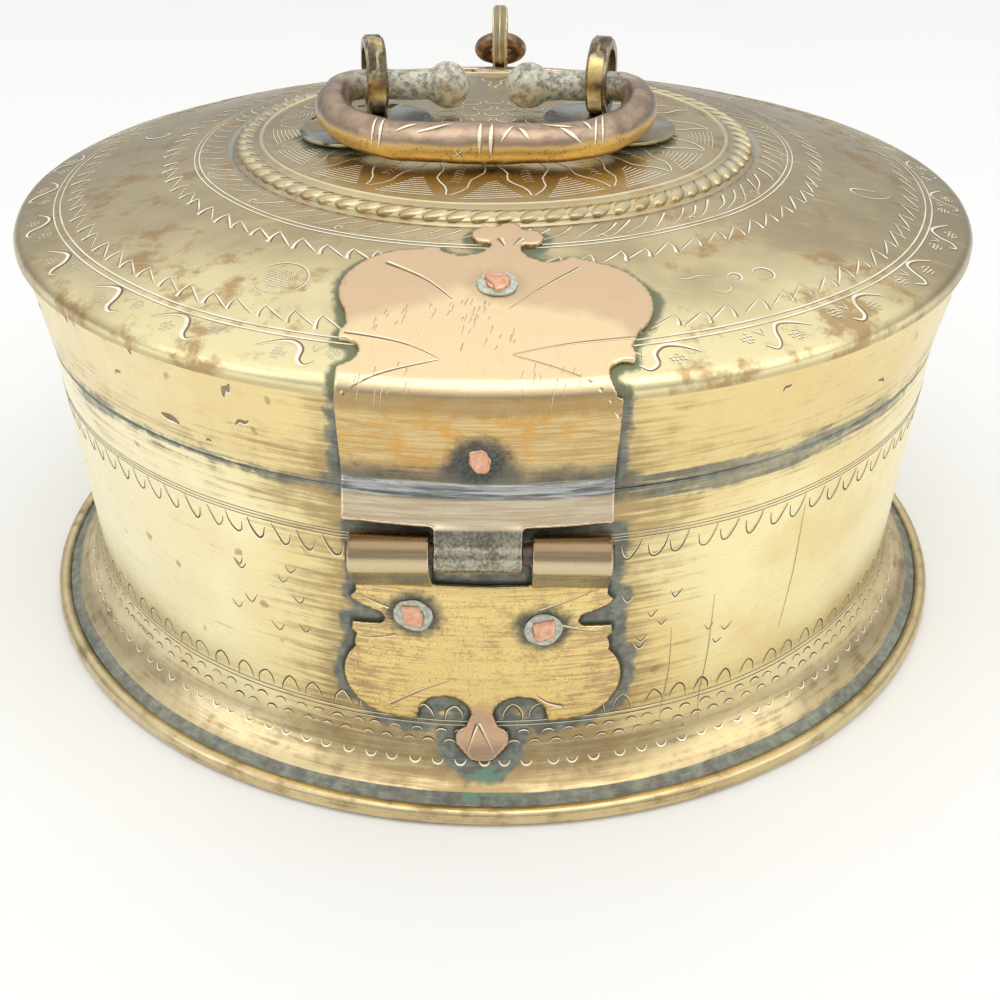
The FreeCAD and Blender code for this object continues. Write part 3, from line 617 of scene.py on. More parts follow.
# %% Shader sums
class Wire:
    """A socket in a material's nodes. Arithmetic on it adds Math nodes."""

    def __init__(self, tree, socket):
        self.tree = tree
        self.socket = socket

    def node(self, kind, settings, inputs, output=0):
        made = self.tree.nodes.new(kind)
        for name, value in settings.items():
            setattr(made, name, value)
        for key, value in inputs.items():
            if isinstance(value, Wire):
                self.tree.links.new(value.socket, made.inputs[key])
            else:
                made.inputs[key].default_value = value
        return Wire(self.tree, made.outputs[output])

    def math(self, operation, *values):
        return self.node("ShaderNodeMath", {"operation": operation}, dict(enumerate(values)))

    def __add__(self, other):
        return self.math("ADD", self, other)

    __radd__ = __add__

    def __sub__(self, other):
        return self.math("SUBTRACT", self, other)

    def __rsub__(self, other):
        return self.math("SUBTRACT", other, self)

    def __mul__(self, other):
        return self.math("MULTIPLY", self, other)

    __rmul__ = __mul__

    def __truediv__(self, other):
        return self.math("DIVIDE", self, other)

    def __abs__(self):
        return self.math("ABSOLUTE", self)

    def rising(self, low, high):
        """0 below low, 1 above high and a soft slope between. With low above high it falls."""
        settings = {"interpolation_type": "SMOOTHSTEP"}
        if low > high:
            return self.node("ShaderNodeMapRange", settings,
                             {0: self, 1: high, 2: low, 3: 1.0, 4: 0.0})
        return self.node("ShaderNodeMapRange", settings, {0: self, 1: low, 2: high})

    def around(self, middle, reach):
        """1 at a middle value, fading to 0 at this reach on both sides."""
        return abs(self - middle).rising(reach, 0.0)


class Finish:
    """A new material, with its shader and the place on the object in millimetres."""

    def __init__(self, name):
        self.material = bpy.data.materials.new(name)
        self.material.use_nodes = True
        self.tree = self.material.node_tree
        self.shader = self.tree.nodes["Principled BSDF"]
        here = Wire(self.tree, self.tree.nodes.new("ShaderNodeTexCoord").outputs["Object"])
        self.place = here.node("ShaderNodeVectorMath", {"operation": "SCALE"}, {0: here, 3: 1 / MM})
        split = self.place.node("ShaderNodeSeparateXYZ", {}, {0: self.place})
        self.x = split
        self.y = Wire(self.tree, split.socket.node.outputs[1])
        self.z = Wire(self.tree, split.socket.node.outputs[2])
        across = self.vector(self.x, self.y, 0.0)
        self.radius = across.node("ShaderNodeVectorMath", {"operation": "LENGTH"}, {0: across}, 1)

    def vector(self, x, y, z):
        return self.x.node("ShaderNodeCombineXYZ", {}, {0: x, 1: y, 2: z})

    def noise(self, scale, detail=3.0, roughness=0.55, place=None):
        """Soft noise about 0.5, with scale in lumps per millimetre."""
        return self.x.node("ShaderNodeTexNoise", {},
                           {"Vector": place or self.place, "Scale": scale, "Detail": detail,
                            "Roughness": roughness})

    def specks(self, scale, place=None):
        """Distance from scattered points, for pits and spots."""
        return self.x.node("ShaderNodeTexVoronoi", {}, {"Vector": place or self.place, "Scale": scale})

    def attribute(self, name):
        made = self.tree.nodes.new("ShaderNodeAttribute")
        made.attribute_name = name
        return Wire(self.tree, made.outputs["Fac"])

    def mix(self, amount, below, above):
        """A colour between two others. A colour is three numbers or a wire."""
        pair = [value if isinstance(value, Wire) else (*value, 1.0) for value in (below, above)]
        return self.x.node("ShaderNodeMix", {"data_type": "RGBA"}, {0: amount, 6: pair[0], 7: pair[1]}, 2)

    def finish(self, colour, roughness, metallic, height, depth):
        """Links the shader. Height is a bump of this depth in millimetres."""
        for name, value in (("Base Color", colour), ("Roughness", roughness), ("Metallic", metallic)):
            if isinstance(value, Wire):
                self.tree.links.new(value.socket, self.shader.inputs[name])
            else:
                self.shader.inputs[name].default_value = value
        bump = self.tree.nodes.new("ShaderNodeBump")
        bump.inputs["Distance"].default_value = depth * MM
        self.tree.links.new(height.socket, bump.inputs["Height"])
        self.tree.links.new(bump.outputs["Normal"], self.shader.inputs["Normal"])
        print("finish", self.material.name, len(self.tree.nodes), "nodes")
        return self.material


print("shader sums ready")

# %% [markdown]
# Grime gathers in corners: along the plates' edges, round the rivets and in the seam. Each
# skin stores, for every vertex, how near the next part is, as an attribute that the materials
# read; on the wall it also places painted shade right beside the plates. A second attribute
# stores how sharply the skin bends outwards: where hands polish the eyes and washers, and on
# the plates also a painted highlight along the fold.

# %% Nearness and outward bend, stored on the skins
GRIME_AND_SHADE_REACH = 8.0
POLISH_REACH = 34.0            # a polishing cloth turns back this far from a plate
BOX_MIDDLE = Vector((0, 0, 60)) * MM


def tree_of(things):
    """One search tree over the meshes of several objects."""
    points, faces = [], []
    for thing in things:
        first = len(points)
        points += [v.co.copy() for v in thing.data.vertices]
        faces += [[first + k for k in p.vertices] for p in thing.data.polygons]
    return BVHTree.FromPolygons(points, faces)


def store(thing, name, values):
    layer = thing.data.attributes.new(name, "FLOAT", "POINT")
    layer.data.foreach_set("value", values)


def store_nearness(thing, others, reach=GRIME_AND_SHADE_REACH, name="near"):
    """1 where another part touches, fading to 0 at this many millimetres and 0 inside the box."""
    near = tree_of(others)
    values = []
    for vertex in thing.data.vertices:
        gap = near.find_nearest(vertex.co, reach * MM)[3]
        inside = vertex.normal.dot(vertex.co - BOX_MIDDLE) < 0
        values.append(0.0 if gap is None or inside else 1.0 - gap / (reach * MM))
    store(thing, name, values)


def store_outward_bend(thing, strength=1.0):
    """How sharply the skin bends outwards at each vertex, from 0 to 1."""
    net = bmesh.new()
    net.from_mesh(thing.data)
    values = []
    for vertex in net.verts:
        bends = [vertex.normal.dot(vertex.co - e.other_vert(vertex).co) / e.calc_length() for e in vertex.link_edges]
        values.append(min(1.0, max(0.0, strength * 4 * sum(bends) / len(bends))))
    net.free()
    store(thing, "wear", values)


def store_upward(thing):
    """How far the skin faces up, from -1 to 1."""
    store(thing, "up", [vertex.normal.z for vertex in thing.data.vertices])


plate_nodes = [frame["nodes"][name] for name in PLATES]
eye_feet = [frame["nodes"][name] for name in ("loop_washer_left", "loop_washer_right", "front_loop")]
store_nearness(wall, plate_nodes)
store_nearness(band, plate_nodes)
store_nearness(dome, plate_nodes + eye_feet)
for thing in (wall, band):
    store_nearness(thing, plate_nodes, POLISH_REACH, "beside")
for node, skin in plates.items():
    store_nearness(skin, [frame["nodes"][name] for name in RIVETS if name[:6] == node[:6]])
    store_outward_bend(skin, 0.8)
for thing in eyes + dishes:
    store_outward_bend(thing)
store_upward(handle)
print("grime reaches", GRIME_AND_SHADE_REACH, "mm from the plates")

# %% [markdown]
# The wall and the lid's side are pale yellow brass, brushed sideways and gone brown in patches.
# The hollow flare is darkened to olive brown, partly tarnish and partly painted shade.
# Blue-grey verdigris follows the seam, the crease above the rolled foot and the plates' edges,
# where polish never reaches, and its pale streaks are painted highlights. Right beside the
# plates the wall is painted near-black as shade. Brown tarnish is a colour of the metal itself,
# while verdigris is a rough crust that hides it, so only the crust lowers Metallic.

# %% Wall brass
YELLOW = (0.97, 0.87, 0.50)
PALE_YELLOW = (0.99, 0.94, 0.68)
GOLD = (0.88, 0.72, 0.36)
BAND_GOLD = (0.78, 0.59, 0.26)
BESIDE_GOLD = (0.84, 0.66, 0.29)
MURK = (0.27, 0.22, 0.13)
BROWN = (0.36, 0.25, 0.12)
FLARE_BROWN = (0.60, 0.47, 0.26)
SLATE = (0.11, 0.13, 0.13)
VERDIGRIS = (0.25, 0.29, 0.26)
TURQUOISE = (0.13, 0.30, 0.22)
WALL_REACH = 118.0


def hinge_angle(m):
    """Angle round the box in radians, 0 at the hinge."""
    return m.x.math("ARCTAN2", m.x, m.y * -1.0)


def crust_near_plates(m, noise, start, more=0.0):
    """How much crust lies here: a ragged border along the next part."""
    return (m.attribute("near") + more + (noise - 0.5) * 0.8).rising(start, start + 0.2)


def wall_brass():
    m = Finish("wall_brass")
    along = hinge_angle(m) * WALL_REACH
    brushing = m.noise(1.0, 4, 0.6, m.vector(along * 0.035, m.z * 0.9, 0.0))
    hairs = m.noise(1.0, 2, 0.6, m.vector(along * 0.12, m.z * 4.5, 0.0))
    broad = m.noise(0.022, 4)
    patchy = m.noise(0.16, 5, 0.65)
    fine = m.noise(0.9, 3)
    near = m.attribute("near")
    beside = m.attribute("beside")
    seam = abs(m.z - seam_height)
    flare = m.z.rising(24.0, 9.0)
    colour = m.mix(broad.rising(0.42, 0.62), YELLOW, GOLD)
    colour = m.mix(m.x.rising(-25.0, -85.0) * 0.6, colour, PALE_YELLOW)
    on_the_band = m.z.rising(seam_height, seam_height + 2.5)
    colour = m.mix(on_the_band * (patchy * 0.6 + 0.25), colour, BAND_GOLD)
    colour = m.mix(beside.rising(0.0, 0.9) * 0.55, colour, BESIDE_GOLD)
    # The flare darkens to olive brown: partly tarnish in patches, partly painted shade on its hollow curve.
    colour = m.mix(flare * (patchy * 0.9 + 0.35), colour, FLARE_BROWN)
    murk = (flare * 0.4 + patchy * 0.8 + (brushing - 0.5) * 0.5).rising(0.82, 1.0)
    colour = m.mix(murk * flare * 0.6, colour, MURK)
    worked = beside.rising(0.1, 1.0) * (0.46 - on_the_band * 0.2) + near * 0.25 + seam.rising(16.0, 2.0) * 0.26 + flare * 0.22
    brown = (brushing * 0.85 + patchy * 0.4 + hairs * 0.2 + worked * 0.55).rising(0.80, 1.12)
    colour = m.mix(brown * 0.8, colour, BROWN)
    spots = (m.specks(0.12) + (fine - 0.5) * 0.3).rising(0.17, 0.07) * m.noise(0.05, 2).rising(0.50, 0.60)
    colour = m.mix(spots * 0.65, colour, BROWN)
    seam_line = (seam.rising(1.8, 0.3) * (patchy * 1.2 + near * 0.5 + broad * 0.3)).rising(0.48, 0.7)
    right_side = m.x.around(58.0, 30.0) * abs(m.z - seam_height + 2.0).rising(8.0, 0.0)
    blots = seam.rising(9.0, 1.0) * 0.42 + near * 0.25 + broad * 0.6 + patchy * 0.4 + right_side * 0.16
    blots = (blots + (brushing - 0.5) * 0.5).rising(0.90, 1.04)
    crease = m.z.rising(5.3, 4.7) * m.radius.rising(127.3, 126.7) * (patchy * 0.8 + 0.6)
    rear_or_front = abs(m.y).rising(100.0, 104.0)
    bud = m.z.rising(36.0, 22.0) * abs(m.x).rising(30.0, 8.0) * rear_or_front
    right_strip = m.x.around(33.0, 7.0) * m.z.rising(80.0, 72.0) * rear_or_front
    crust = m.z.math("MAXIMUM", crust_near_plates(m, patchy, 0.56, bud * 0.26 + right_strip * 0.16), seam_line)
    crust = m.z.math("MAXIMUM", crust, crease.rising(0.3, 0.7))
    crust = m.z.math("MAXIMUM", crust, blots * 0.8)
    lichen = m.noise(0.35, 4, 0.6)
    crust_colour = m.mix(lichen.rising(0.35, 0.70), SLATE, VERDIGRIS)
    # The pale blue-grey streaks in the crust are painted highlights.
    crust_colour = m.mix(hairs.rising(0.60, 0.72) * 0.6, crust_colour, (0.50, 0.56, 0.54))
    foot_green = m.x.around(1.0, 13.0) * m.z.around(6.5, 5.0) * rear_or_front
    green = (foot_green + (lichen - 0.5) * 2.0).rising(0.45, 0.75)
    crust_colour = m.mix(green, crust_colour, TURQUOISE)
    colour = m.mix(crust * 0.85, colour, crust_colour)
    # Right beside the plates the wall goes near-black: painted shade in the gaps and recesses.
    dark_edge = near.rising(0.84, 0.97)
    colour = m.mix(dark_edge * 0.85, colour, (0.05, 0.06, 0.05))
    roughness = crust * 0.4 + brown * 0.12 + hairs * 0.16 + 0.2
    height = hairs * 0.5 + fine * crust * 1.2 - spots * 2.0 + brushing * 0.6
    return m.finish(colour, roughness, 1.0 - crust * 0.75, height, 0.03)


wall_finish = wall_brass()

# %% [markdown]
# The lid lies open to the air and is hardly ever polished: an olive brown with orange stains.
# Its front is painted as yellow as the wall, a painted reflection. The rope and the bead stand
# proud, so they are rubbed bright, and the rope gets a painted highlight towards the front. The
# groove carries a pale blue painted highlight.

# %% Lid brass
OLIVE = (0.61, 0.51, 0.30)
UMBER = (0.46, 0.37, 0.215)
STAIN = (0.42, 0.25, 0.10)
RUBBED = (0.93, 0.85, 0.57)
MOSS = (0.12, 0.145, 0.08)
PALE_BLUE = (0.52, 0.56, 0.60)


def lid_brass():
    m = Finish("lid_brass")
    radius = m.radius
    broad = m.noise(0.02, 4, 0.6)
    patchy = m.noise(0.11, 5, 0.65)
    fine = m.noise(0.8, 3)
    swept = m.noise(1.0, 3, 0.6, m.vector(m.x * 0.05, m.y * 0.35, m.z * 0.4))
    near = m.attribute("near")
    colour = m.mix(broad.rising(0.38, 0.62), UMBER, OLIVE)
    # Towards the hinge side the lid turns yellow: a painted reflection.
    front = (m.y * -1.0 + (broad - 0.5) * 90.0 + radius * 0.2).rising(78.0, 132.0)
    colour = m.mix(front * 0.8, colour, YELLOW)
    stains = (patchy * 0.8 + broad * 0.5 + fine * 0.1).rising(0.72, 0.86)
    colour = m.mix(stains * 0.75, colour, STAIN)
    colour = m.mix(swept.rising(0.55, 0.75) * 0.35, colour, GOLD)
    # The rope is rubbed bright, and brighter still towards the front as a painted highlight.
    rope_top = radius.around(64.7, 3.0)
    colour = m.mix(rope_top * (0.55 + front * 0.3), colour, RUBBED)
    bead_line = radius.around(60.9, 0.8)
    colour = m.mix(bead_line * 0.85, colour, RUBBED)
    # A pale blue painted highlight along the groove.
    groove_line = radius.around(68.9, 0.9)
    colour = m.mix(groove_line * 0.7, colour, PALE_BLUE)
    edge = m.z.rising(shoulder_height + 0.6, shoulder_height - 0.6)
    colour = m.mix(edge * 0.5, colour, BROWN)
    crust = crust_near_plates(m, patchy, 0.64)
    crust_colour = m.mix(near.rising(0.5, 0.85), VERDIGRIS, MOSS)
    colour = m.mix(crust * 0.9, colour, crust_colour)
    roughness = crust * 0.4 + stains * 0.08 + fine * 0.1 + 0.24 - rope_top * 0.05
    height = fine * 0.5 + swept * 0.7 + fine * crust * 1.5
    return m.finish(colour, roughness, 1.0 - crust * 0.75, height, 0.03)


lid_finish = lid_brass()

# %% [markdown]
# The plates are a redder alloy, thicker and filed, with slanting scratches from the file. Each
# stretch of them has aged in its own way: rosy lobes, a cream middle, a golden brown band under
# the fold, a slate ledge, and the speckled gold of the lower plates. The hinge's knuckles carry a
# painted shadow under the plate's edge and painted shade on their undersides, the tongue is
# darkened with painted shade, and the outward bends are paler, partly from polish and partly as
# a painted highlight along the fold.

# %% Plate brass
CREAM = (0.91, 0.71, 0.43)
ROSE = (0.74, 0.54, 0.34)
HONEY = (0.74, 0.52, 0.23)
AMBER = (0.70, 0.38, 0.09)
SPECKLED_GOLD = (0.88, 0.68, 0.28)
INK = (0.06, 0.06, 0.05)
FOLD = 106.9
PIN_HEIGHT = 71.6


def plate_brass():
    m = Finish("plate_brass")
    inward = PIN_REACH - abs(m.y)
    broad = m.noise(0.05, 4, 0.6)
    patchy = m.noise(0.25, 5, 0.65)
    fine = m.noise(1.4, 3)
    brushing = m.noise(1.0, 4, 0.65, m.vector(m.x * 0.06, m.y * 0.3, m.z * 1.6))
    filed = m.noise(1.0, 3, 0.7, m.vector(m.x * 2.4 + m.y * 0.7, m.y * 0.12 - m.x * 0.05, 0.0))
    near = m.attribute("near")
    wear = m.attribute("wear")
    top = m.z.rising(FOLD + 0.5, FOLD + 2.5)
    bulge = m.x * m.x * 0.012
    rosy = (inward + bulge + (broad - 0.5) * 16.0).rising(24.0, 30.0)
    top_colour = m.mix(rosy, CREAM, ROSE)
    top_colour = m.mix((filed.rising(0.62, 0.72) * 0.35), top_colour, BROWN)
    face = m.mix(brushing.rising(0.38, 0.68), (0.56, 0.38, 0.16), (0.82, 0.64, 0.32))
    face = m.mix((patchy + broad * 0.6).rising(0.78, 0.98) * 0.75, face, AMBER)
    face = m.mix(brushing.rising(0.58, 0.72) * 0.55, face, BROWN)
    under_fold = m.z.rising(101.0, 106.0) * 0.35
    face = m.mix((under_fold + brushing * 0.7 + patchy * 0.3).rising(0.62, 0.85) * 0.7, face, BROWN)
    soot = (m.z.rising(97.0, 87.0) * 0.5 + brushing * 0.45 + patchy * 0.35 + near * 0.35).rising(0.62, 0.95)
    face = m.mix(soot * 0.85, face, SLATE)
    ledge_top = m.z.rising(87.3, 86.0)
    ledge = m.mix(brushing.rising(0.36, 0.62), (0.74, 0.74, 0.70), (0.19, 0.20, 0.19))
    face = m.mix(ledge_top, face, ledge)
    ledge_face = m.z.rising(84.2, 83.0)
    pinkish = m.mix(brushing.rising(0.35, 0.65), (0.95, 0.83, 0.58), (0.74, 0.56, 0.36))
    face = m.mix(ledge_face, face, pinkish)
    colour = m.mix(top, face, top_colour)
    hinge = m.z.rising(78.3, 77.6)
    # The knuckle darkens towards its top: painted shadow under the plate's lower edge.
    knuckle = m.mix(m.z.rising(71.5, 75.5) * (brushing + 0.7), (0.66, 0.54, 0.33), (0.24, 0.17, 0.10))
    # Below the barrel the knuckle is grey: painted shade on its underside.
    knuckle = m.mix(m.z.rising(68.6, 67.6), knuckle, (0.42, 0.42, 0.38))
    # The tongue faces down and is darkened: painted shade, broken by noise.
    tongue = m.mix((fine * 0.6 + patchy * 0.5).rising(0.40, 0.72), (0.20, 0.18, 0.14), (0.55, 0.51, 0.38))
    inner = abs(m.x).rising(10.0, 9.7)
    colour = m.mix(hinge, colour, m.mix(inner, knuckle, tongue))
    low = m.z.rising(62.5, 61.5)
    leaf = m.mix(brushing.rising(0.46, 0.62) * 0.6, SPECKLED_GOLD, HONEY)
    leaf = m.mix((fine * 0.6 + patchy * 0.7).rising(0.66, 0.80) * 0.5, leaf, (0.50, 0.34, 0.16))
    streaks = (brushing * 0.8 + abs(m.x).rising(6.0, 26.0) * 0.12 + patchy * 0.3).rising(0.62, 0.72)
    leaf = m.mix(streaks * 0.6, leaf, (0.42, 0.28, 0.17))
    dots = (m.specks(0.9) + broad * 0.3).rising(0.36, 0.26)
    leaf = m.mix(dots * 0.75, leaf, (0.36, 0.22, 0.09))
    high_leaf = m.z.rising(56.0, 62.0) * (brushing * 0.6 + 0.3)
    leaf = m.mix(high_leaf, leaf, BROWN)
    leaf = m.mix((m.z + abs(m.x) * 0.5 + (patchy - 0.5) * 6.0).rising(29.0, 22.0) * 0.9, leaf, (0.62, 0.40, 0.27))
    colour = m.mix(low, colour, leaf)
    halo = (near + (patchy - 0.5) * 0.7).rising(0.30, 0.75) * (1.0 - top * 0.8)
    colour = m.mix(halo * 0.9, colour, m.mix(fine.rising(0.4, 0.65), INK, SLATE))
    # The outward bends are made paler: partly polish, partly a painted highlight along the fold.
    colour = m.mix(wear.rising(0.25, 0.8) * 0.55, colour, (0.93, 0.78, 0.52))
    crust = halo * 0.8
    roughness = crust * 0.35 + brushing * 0.14 + fine * 0.08 + 0.17
    height = brushing * (1.0 - top) * 0.9 + filed * top * 0.7 + fine * 0.25 + patchy * 0.5
    return m.finish(colour, roughness, 1.0 - crust * 0.6, height, 0.035)


plate_finish = plate_brass()

# %% [markdown]
# The small parts have simpler finishes, but none is plain: copper heads with dark pits, grey
# solder, dished washers with a blue-grey bloom, and cast eyes whose edges are rubbed to gold.

# %% Finishes of the small parts
def rivet_copper():
    m = Finish("rivet_copper")
    patchy = m.noise(0.7, 4, 0.65)
    colour = m.mix(patchy.rising(0.35, 0.65), (0.72, 0.36, 0.22), (0.86, 0.54, 0.38))
    pits = (patchy + m.noise(2.2, 2) * 0.5).rising(0.92, 1.02)
    colour = m.mix(pits * 0.7, colour, (0.28, 0.12, 0.08))
    return m.finish(colour, patchy * 0.2 + 0.3, 1.0, patchy - pits, 0.08)


def pale_ring():
    m = Finish("pale_ring")
    patchy = m.noise(0.9, 4, 0.65)
    colour = m.mix(patchy.rising(0.35, 0.65), (0.40, 0.43, 0.36), (0.66, 0.68, 0.58))
    return m.finish(colour, patchy * 0.3 + 0.35, 0.55, patchy, 0.12)


def washer_metal():
    m = Finish("washer_metal")
    broad = m.noise(0.09, 3, 0.5)
    patchy = m.noise(0.5, 4, 0.6)
    colour = m.mix(broad.rising(0.42, 0.56), (0.34, 0.27, 0.16), (0.38, 0.39, 0.38))
    colour = m.mix(patchy.rising(0.6, 0.75) * 0.5, colour, (0.62, 0.56, 0.42))
    colour = m.mix(m.attribute("wear").rising(0.2, 0.7) * 0.8, colour, (0.70, 0.60, 0.36))
    return m.finish(colour, patchy * 0.2 + 0.2, 1.0, patchy, 0.05)


def pin_steel():
    m = Finish("pin_steel")
    patchy = m.noise(0.8, 4, 0.6)
    colour = m.mix(patchy.rising(0.4, 0.62), (0.10, 0.10, 0.10), (0.24, 0.15, 0.09))
    return m.finish(colour, patchy * 0.3 + 0.4, 0.8, patchy, 0.06)


def cast_loops():
    m = Finish("cast_loops")
    patchy = m.noise(0.32, 5, 0.65)
    fine = m.noise(1.6, 3)
    colour = m.mix(patchy.rising(0.40, 0.60), (0.20, 0.16, 0.11), (0.44, 0.36, 0.23))
    rubbed = (m.attribute("wear") + (patchy - 0.5) * 0.5).rising(0.06, 0.34)
    colour = m.mix(rubbed * 0.9, colour, (0.86, 0.64, 0.26))
    colour = m.mix(m.y.rising(70.0, 80.0) * 0.8, colour, (0.90, 0.76, 0.44))
    return m.finish(colour, fine * 0.18 + 0.22, 1.0, patchy + fine * 0.3, 0.09)


def handle_bronze():
    m = Finish("handle_bronze")
    patchy = m.noise(0.22, 5, 0.65)
    fine = m.noise(1.5, 4, 0.7)
    below = (m.attribute("up") * -1.0 + (patchy - 0.5) * 0.5).rising(-0.35, 0.1)
    colour = m.mix(patchy.rising(0.38, 0.64), (0.48, 0.35, 0.25), (0.34, 0.24, 0.17))
    colour = m.mix(below * 0.9, colour, (0.88, 0.60, 0.20))
    colour = m.mix((fine + patchy * 0.5).rising(0.80, 0.92) * below * 0.6, colour, (0.24, 0.14, 0.06))
    ends = (m.y + (patchy - 0.5) * 12.0).rising(-11.0, -3.0) * abs(m.x + 1.6).rising(44.0, 30.0)
    lumps = m.noise(0.5, 3, 0.6)
    mottled = m.mix(lumps.rising(0.36, 0.58), (0.22, 0.21, 0.17), (0.68, 0.68, 0.56))
    mottled = m.mix(fine.rising(0.50, 0.62) * 0.55, mottled, (0.84, 0.82, 0.70))
    mottled = m.mix(patchy.rising(0.52, 0.62) * 0.7, mottled, (0.42, 0.30, 0.20))
    colour = m.mix(ends * 0.92, colour, mottled)
    roughness = fine * 0.2 + ends * 0.25 + 0.22
    height = patchy + fine * (0.3 + ends * 0.9)
    return m.finish(colour, roughness, 1.0 - ends * 0.65, height, 0.12)


def ring_bronze():
    m = Finish("ring_bronze")
    patchy = m.noise(0.3, 5, 0.65)
    colour = m.mix(patchy.rising(0.38, 0.64), (0.36, 0.23, 0.14), (0.17, 0.11, 0.07))
    return m.finish(colour, patchy * 0.25 + 0.25, 1.0, patchy, 0.1)


FINISHES = {"wall_brass": wall_finish, "lid_brass": lid_finish, "plate_brass": plate_finish,
            "rivet_copper": rivet_copper(), "pale_ring": pale_ring(), "washer_metal": washer_metal(),
            "pin_steel": pin_steel(), "cast_loops": cast_loops(), "handle_bronze": handle_bronze(),
            "ring_bronze": ring_bronze()}
print("finishes:", ", ".join(FINISHES))


# %% [markdown]
# The engraving was cut freehand with a graver, stroke after stroke. A cut into the sheet would
# need millions of faces, so each stroke is a thin closed ribbon lying on the skin. Its top is a
# shallow groove of two slopes in two metals, a lit and a shaded copy: a painted highlight on one
# slope and painted shade on the other. All strokes of a pattern are collected in one mesh.
# Points are given as an angle round the box, 0 at the hinge, and a second number: the radius on
# the lid, or the height on the wall.

# %% A graver and its strokes
graver = random.Random(23)
STROKE_LIFT = 0.06
STROKE_KEEL = 0.25


def lens(t):
    """A stroke that is thick in the middle and thin at both ends."""
    return math.sin(math.pi * (0.08 + 0.84 * t))


def wedge(t):
    """A stroke that is struck hard and tapers off."""
    return 1.0 - 0.8 * t


def even(t):
    return 1.0


def jitter(size):
    return graver.uniform(-size, size)


class Engraving:
    """Collects strokes and lays them on one skin."""

    def __init__(self, skin, aim):
        self.skin = tree_of([skin])
        self.aim = aim
        self.points, self.faces, self.tones = [], [], []

    def spot(self, u, v):
        start, way = self.aim(u, v)
        place, up = self.skin.ray_cast(start, way)[:2]
        if place is None:
            return None
        return place, up if up.dot(way) < 0 else -up

    def stroke(self, path, thick, shape=lens, split=0.62, tones=(0, 1)):
        """One cut along a path. Its width in millimetres follows the shape."""
        marks = [mark for mark in (self.spot(*p) for p in path) if mark]
        if len(marks) < 2:
            return
        first = len(self.points)
        for k, (place, up) in enumerate(marks):
            ahead = marks[min(k + 1, len(marks) - 1)][0] - marks[max(k - 1, 0)][0]
            side = up.cross(ahead).normalized() * thick * shape(k / (len(marks) - 1)) * MM
            lift = up * STROKE_LIFT * MM
            self.points += [place + side * 0.5 + lift, place + side * (0.5 - split) + lift * 0.5,
                            place - side * 0.5 + lift, place - up * STROKE_KEEL * MM]
        # The groove's two slopes take the two metals: one a painted highlight, the other painted shade.
        for k in range(len(marks) - 1):
            a = first + 4 * k
            for j, tone in enumerate((tones[0], tones[1], tones[1], tones[0])):
                n = (j + 1) % 4
                self.faces.append((a + j, a + n, a + 4 + n, a + 4 + j))
                self.tones.append(tone)
        last = first + 4 * (len(marks) - 1)
        self.faces += [(first + 3, first + 2, first + 1, first), (last, last + 1, last + 2, last + 3)]
        self.tones += [tones[0], tones[0]]

    def made(self, name, metals, body, slot):
        """The object with all the strokes so far."""
        mesh = bpy.data.meshes.new(name)
        mesh.from_pydata(self.points, [], self.faces)
        for metal in metals:
            mesh.materials.append(metal)
        mesh.polygons.foreach_set("material_index", self.tones)
        mesh.update()
        thing = add_object(name, mesh)
        pick(thing)
        bpy.ops.object.mode_set(mode="EDIT")
        bpy.ops.mesh.select_all(action="SELECT")
        bpy.ops.mesh.normals_make_consistent(inside=False)
        bpy.ops.object.mode_set(mode="OBJECT")
        dress(thing, body, slot)
        self.points, self.faces, self.tones = [], [], []
        return thing


def over_lid(angle, radius):
    start = Vector((radius * math.sin(angle), -radius * math.cos(angle), 200)) * MM
    return start, Vector((0, 0, -1))


def round_wall(angle, height):
    outward = Vector((math.sin(angle), -math.cos(angle), 0))
    return (outward * 150 + Vector((0, 0, height))) * MM, -outward


def line_of(points, count=5):
    """A path through a few points, rounded like the sweep of a hand."""
    path = []
    ends = [points[0]] + list(points) + [points[-1]]
    for a, b, c, d in zip(ends, ends[1:], ends[2:], ends[3:]):
        for k in range(count):
            t = k / count
            path.append(tuple(0.5 * (2 * q + (r - p) * t + (2 * p - 5 * q + 4 * r - s) * t ** 2
                                     + (3 * q - p - 3 * r + s) * t ** 3)
                              for p, q, r, s in zip(a, b, c, d)))
    return path + [tuple(points[-1])]


def placed(path, angle, base, reach, flip=1):
    """Local points, in millimetres along and outwards, moved to an angle and a base."""
    return [(angle + flip * u / reach, base + v) for u, v in path]


def oval(wide, high, start=0, end=360, count=18, centre=(0, 0)):
    turns = [math.radians(start + (end - start) * k / count) for k in range(count + 1)]
    return [(centre[0] + wide * math.cos(t), centre[1] + high * math.sin(t)) for t in turns]


def whole_ring(v, steps=360):
    return [(math.tau * k / steps, v + 0.12 * math.sin(9.0 * math.tau * k / steps)) for k in range(steps + 1)]


def engraved_metal(name, bright, dull, roughness, metallic=1.0):
    m = Finish(name)
    worn = m.noise(0.09, 4, 0.6)
    colour = m.mix(worn.rising(0.44, 0.66), bright, dull)
    return m.finish(colour, worn * 0.2 + roughness, metallic, m.noise(1.5, 2), 0.02)


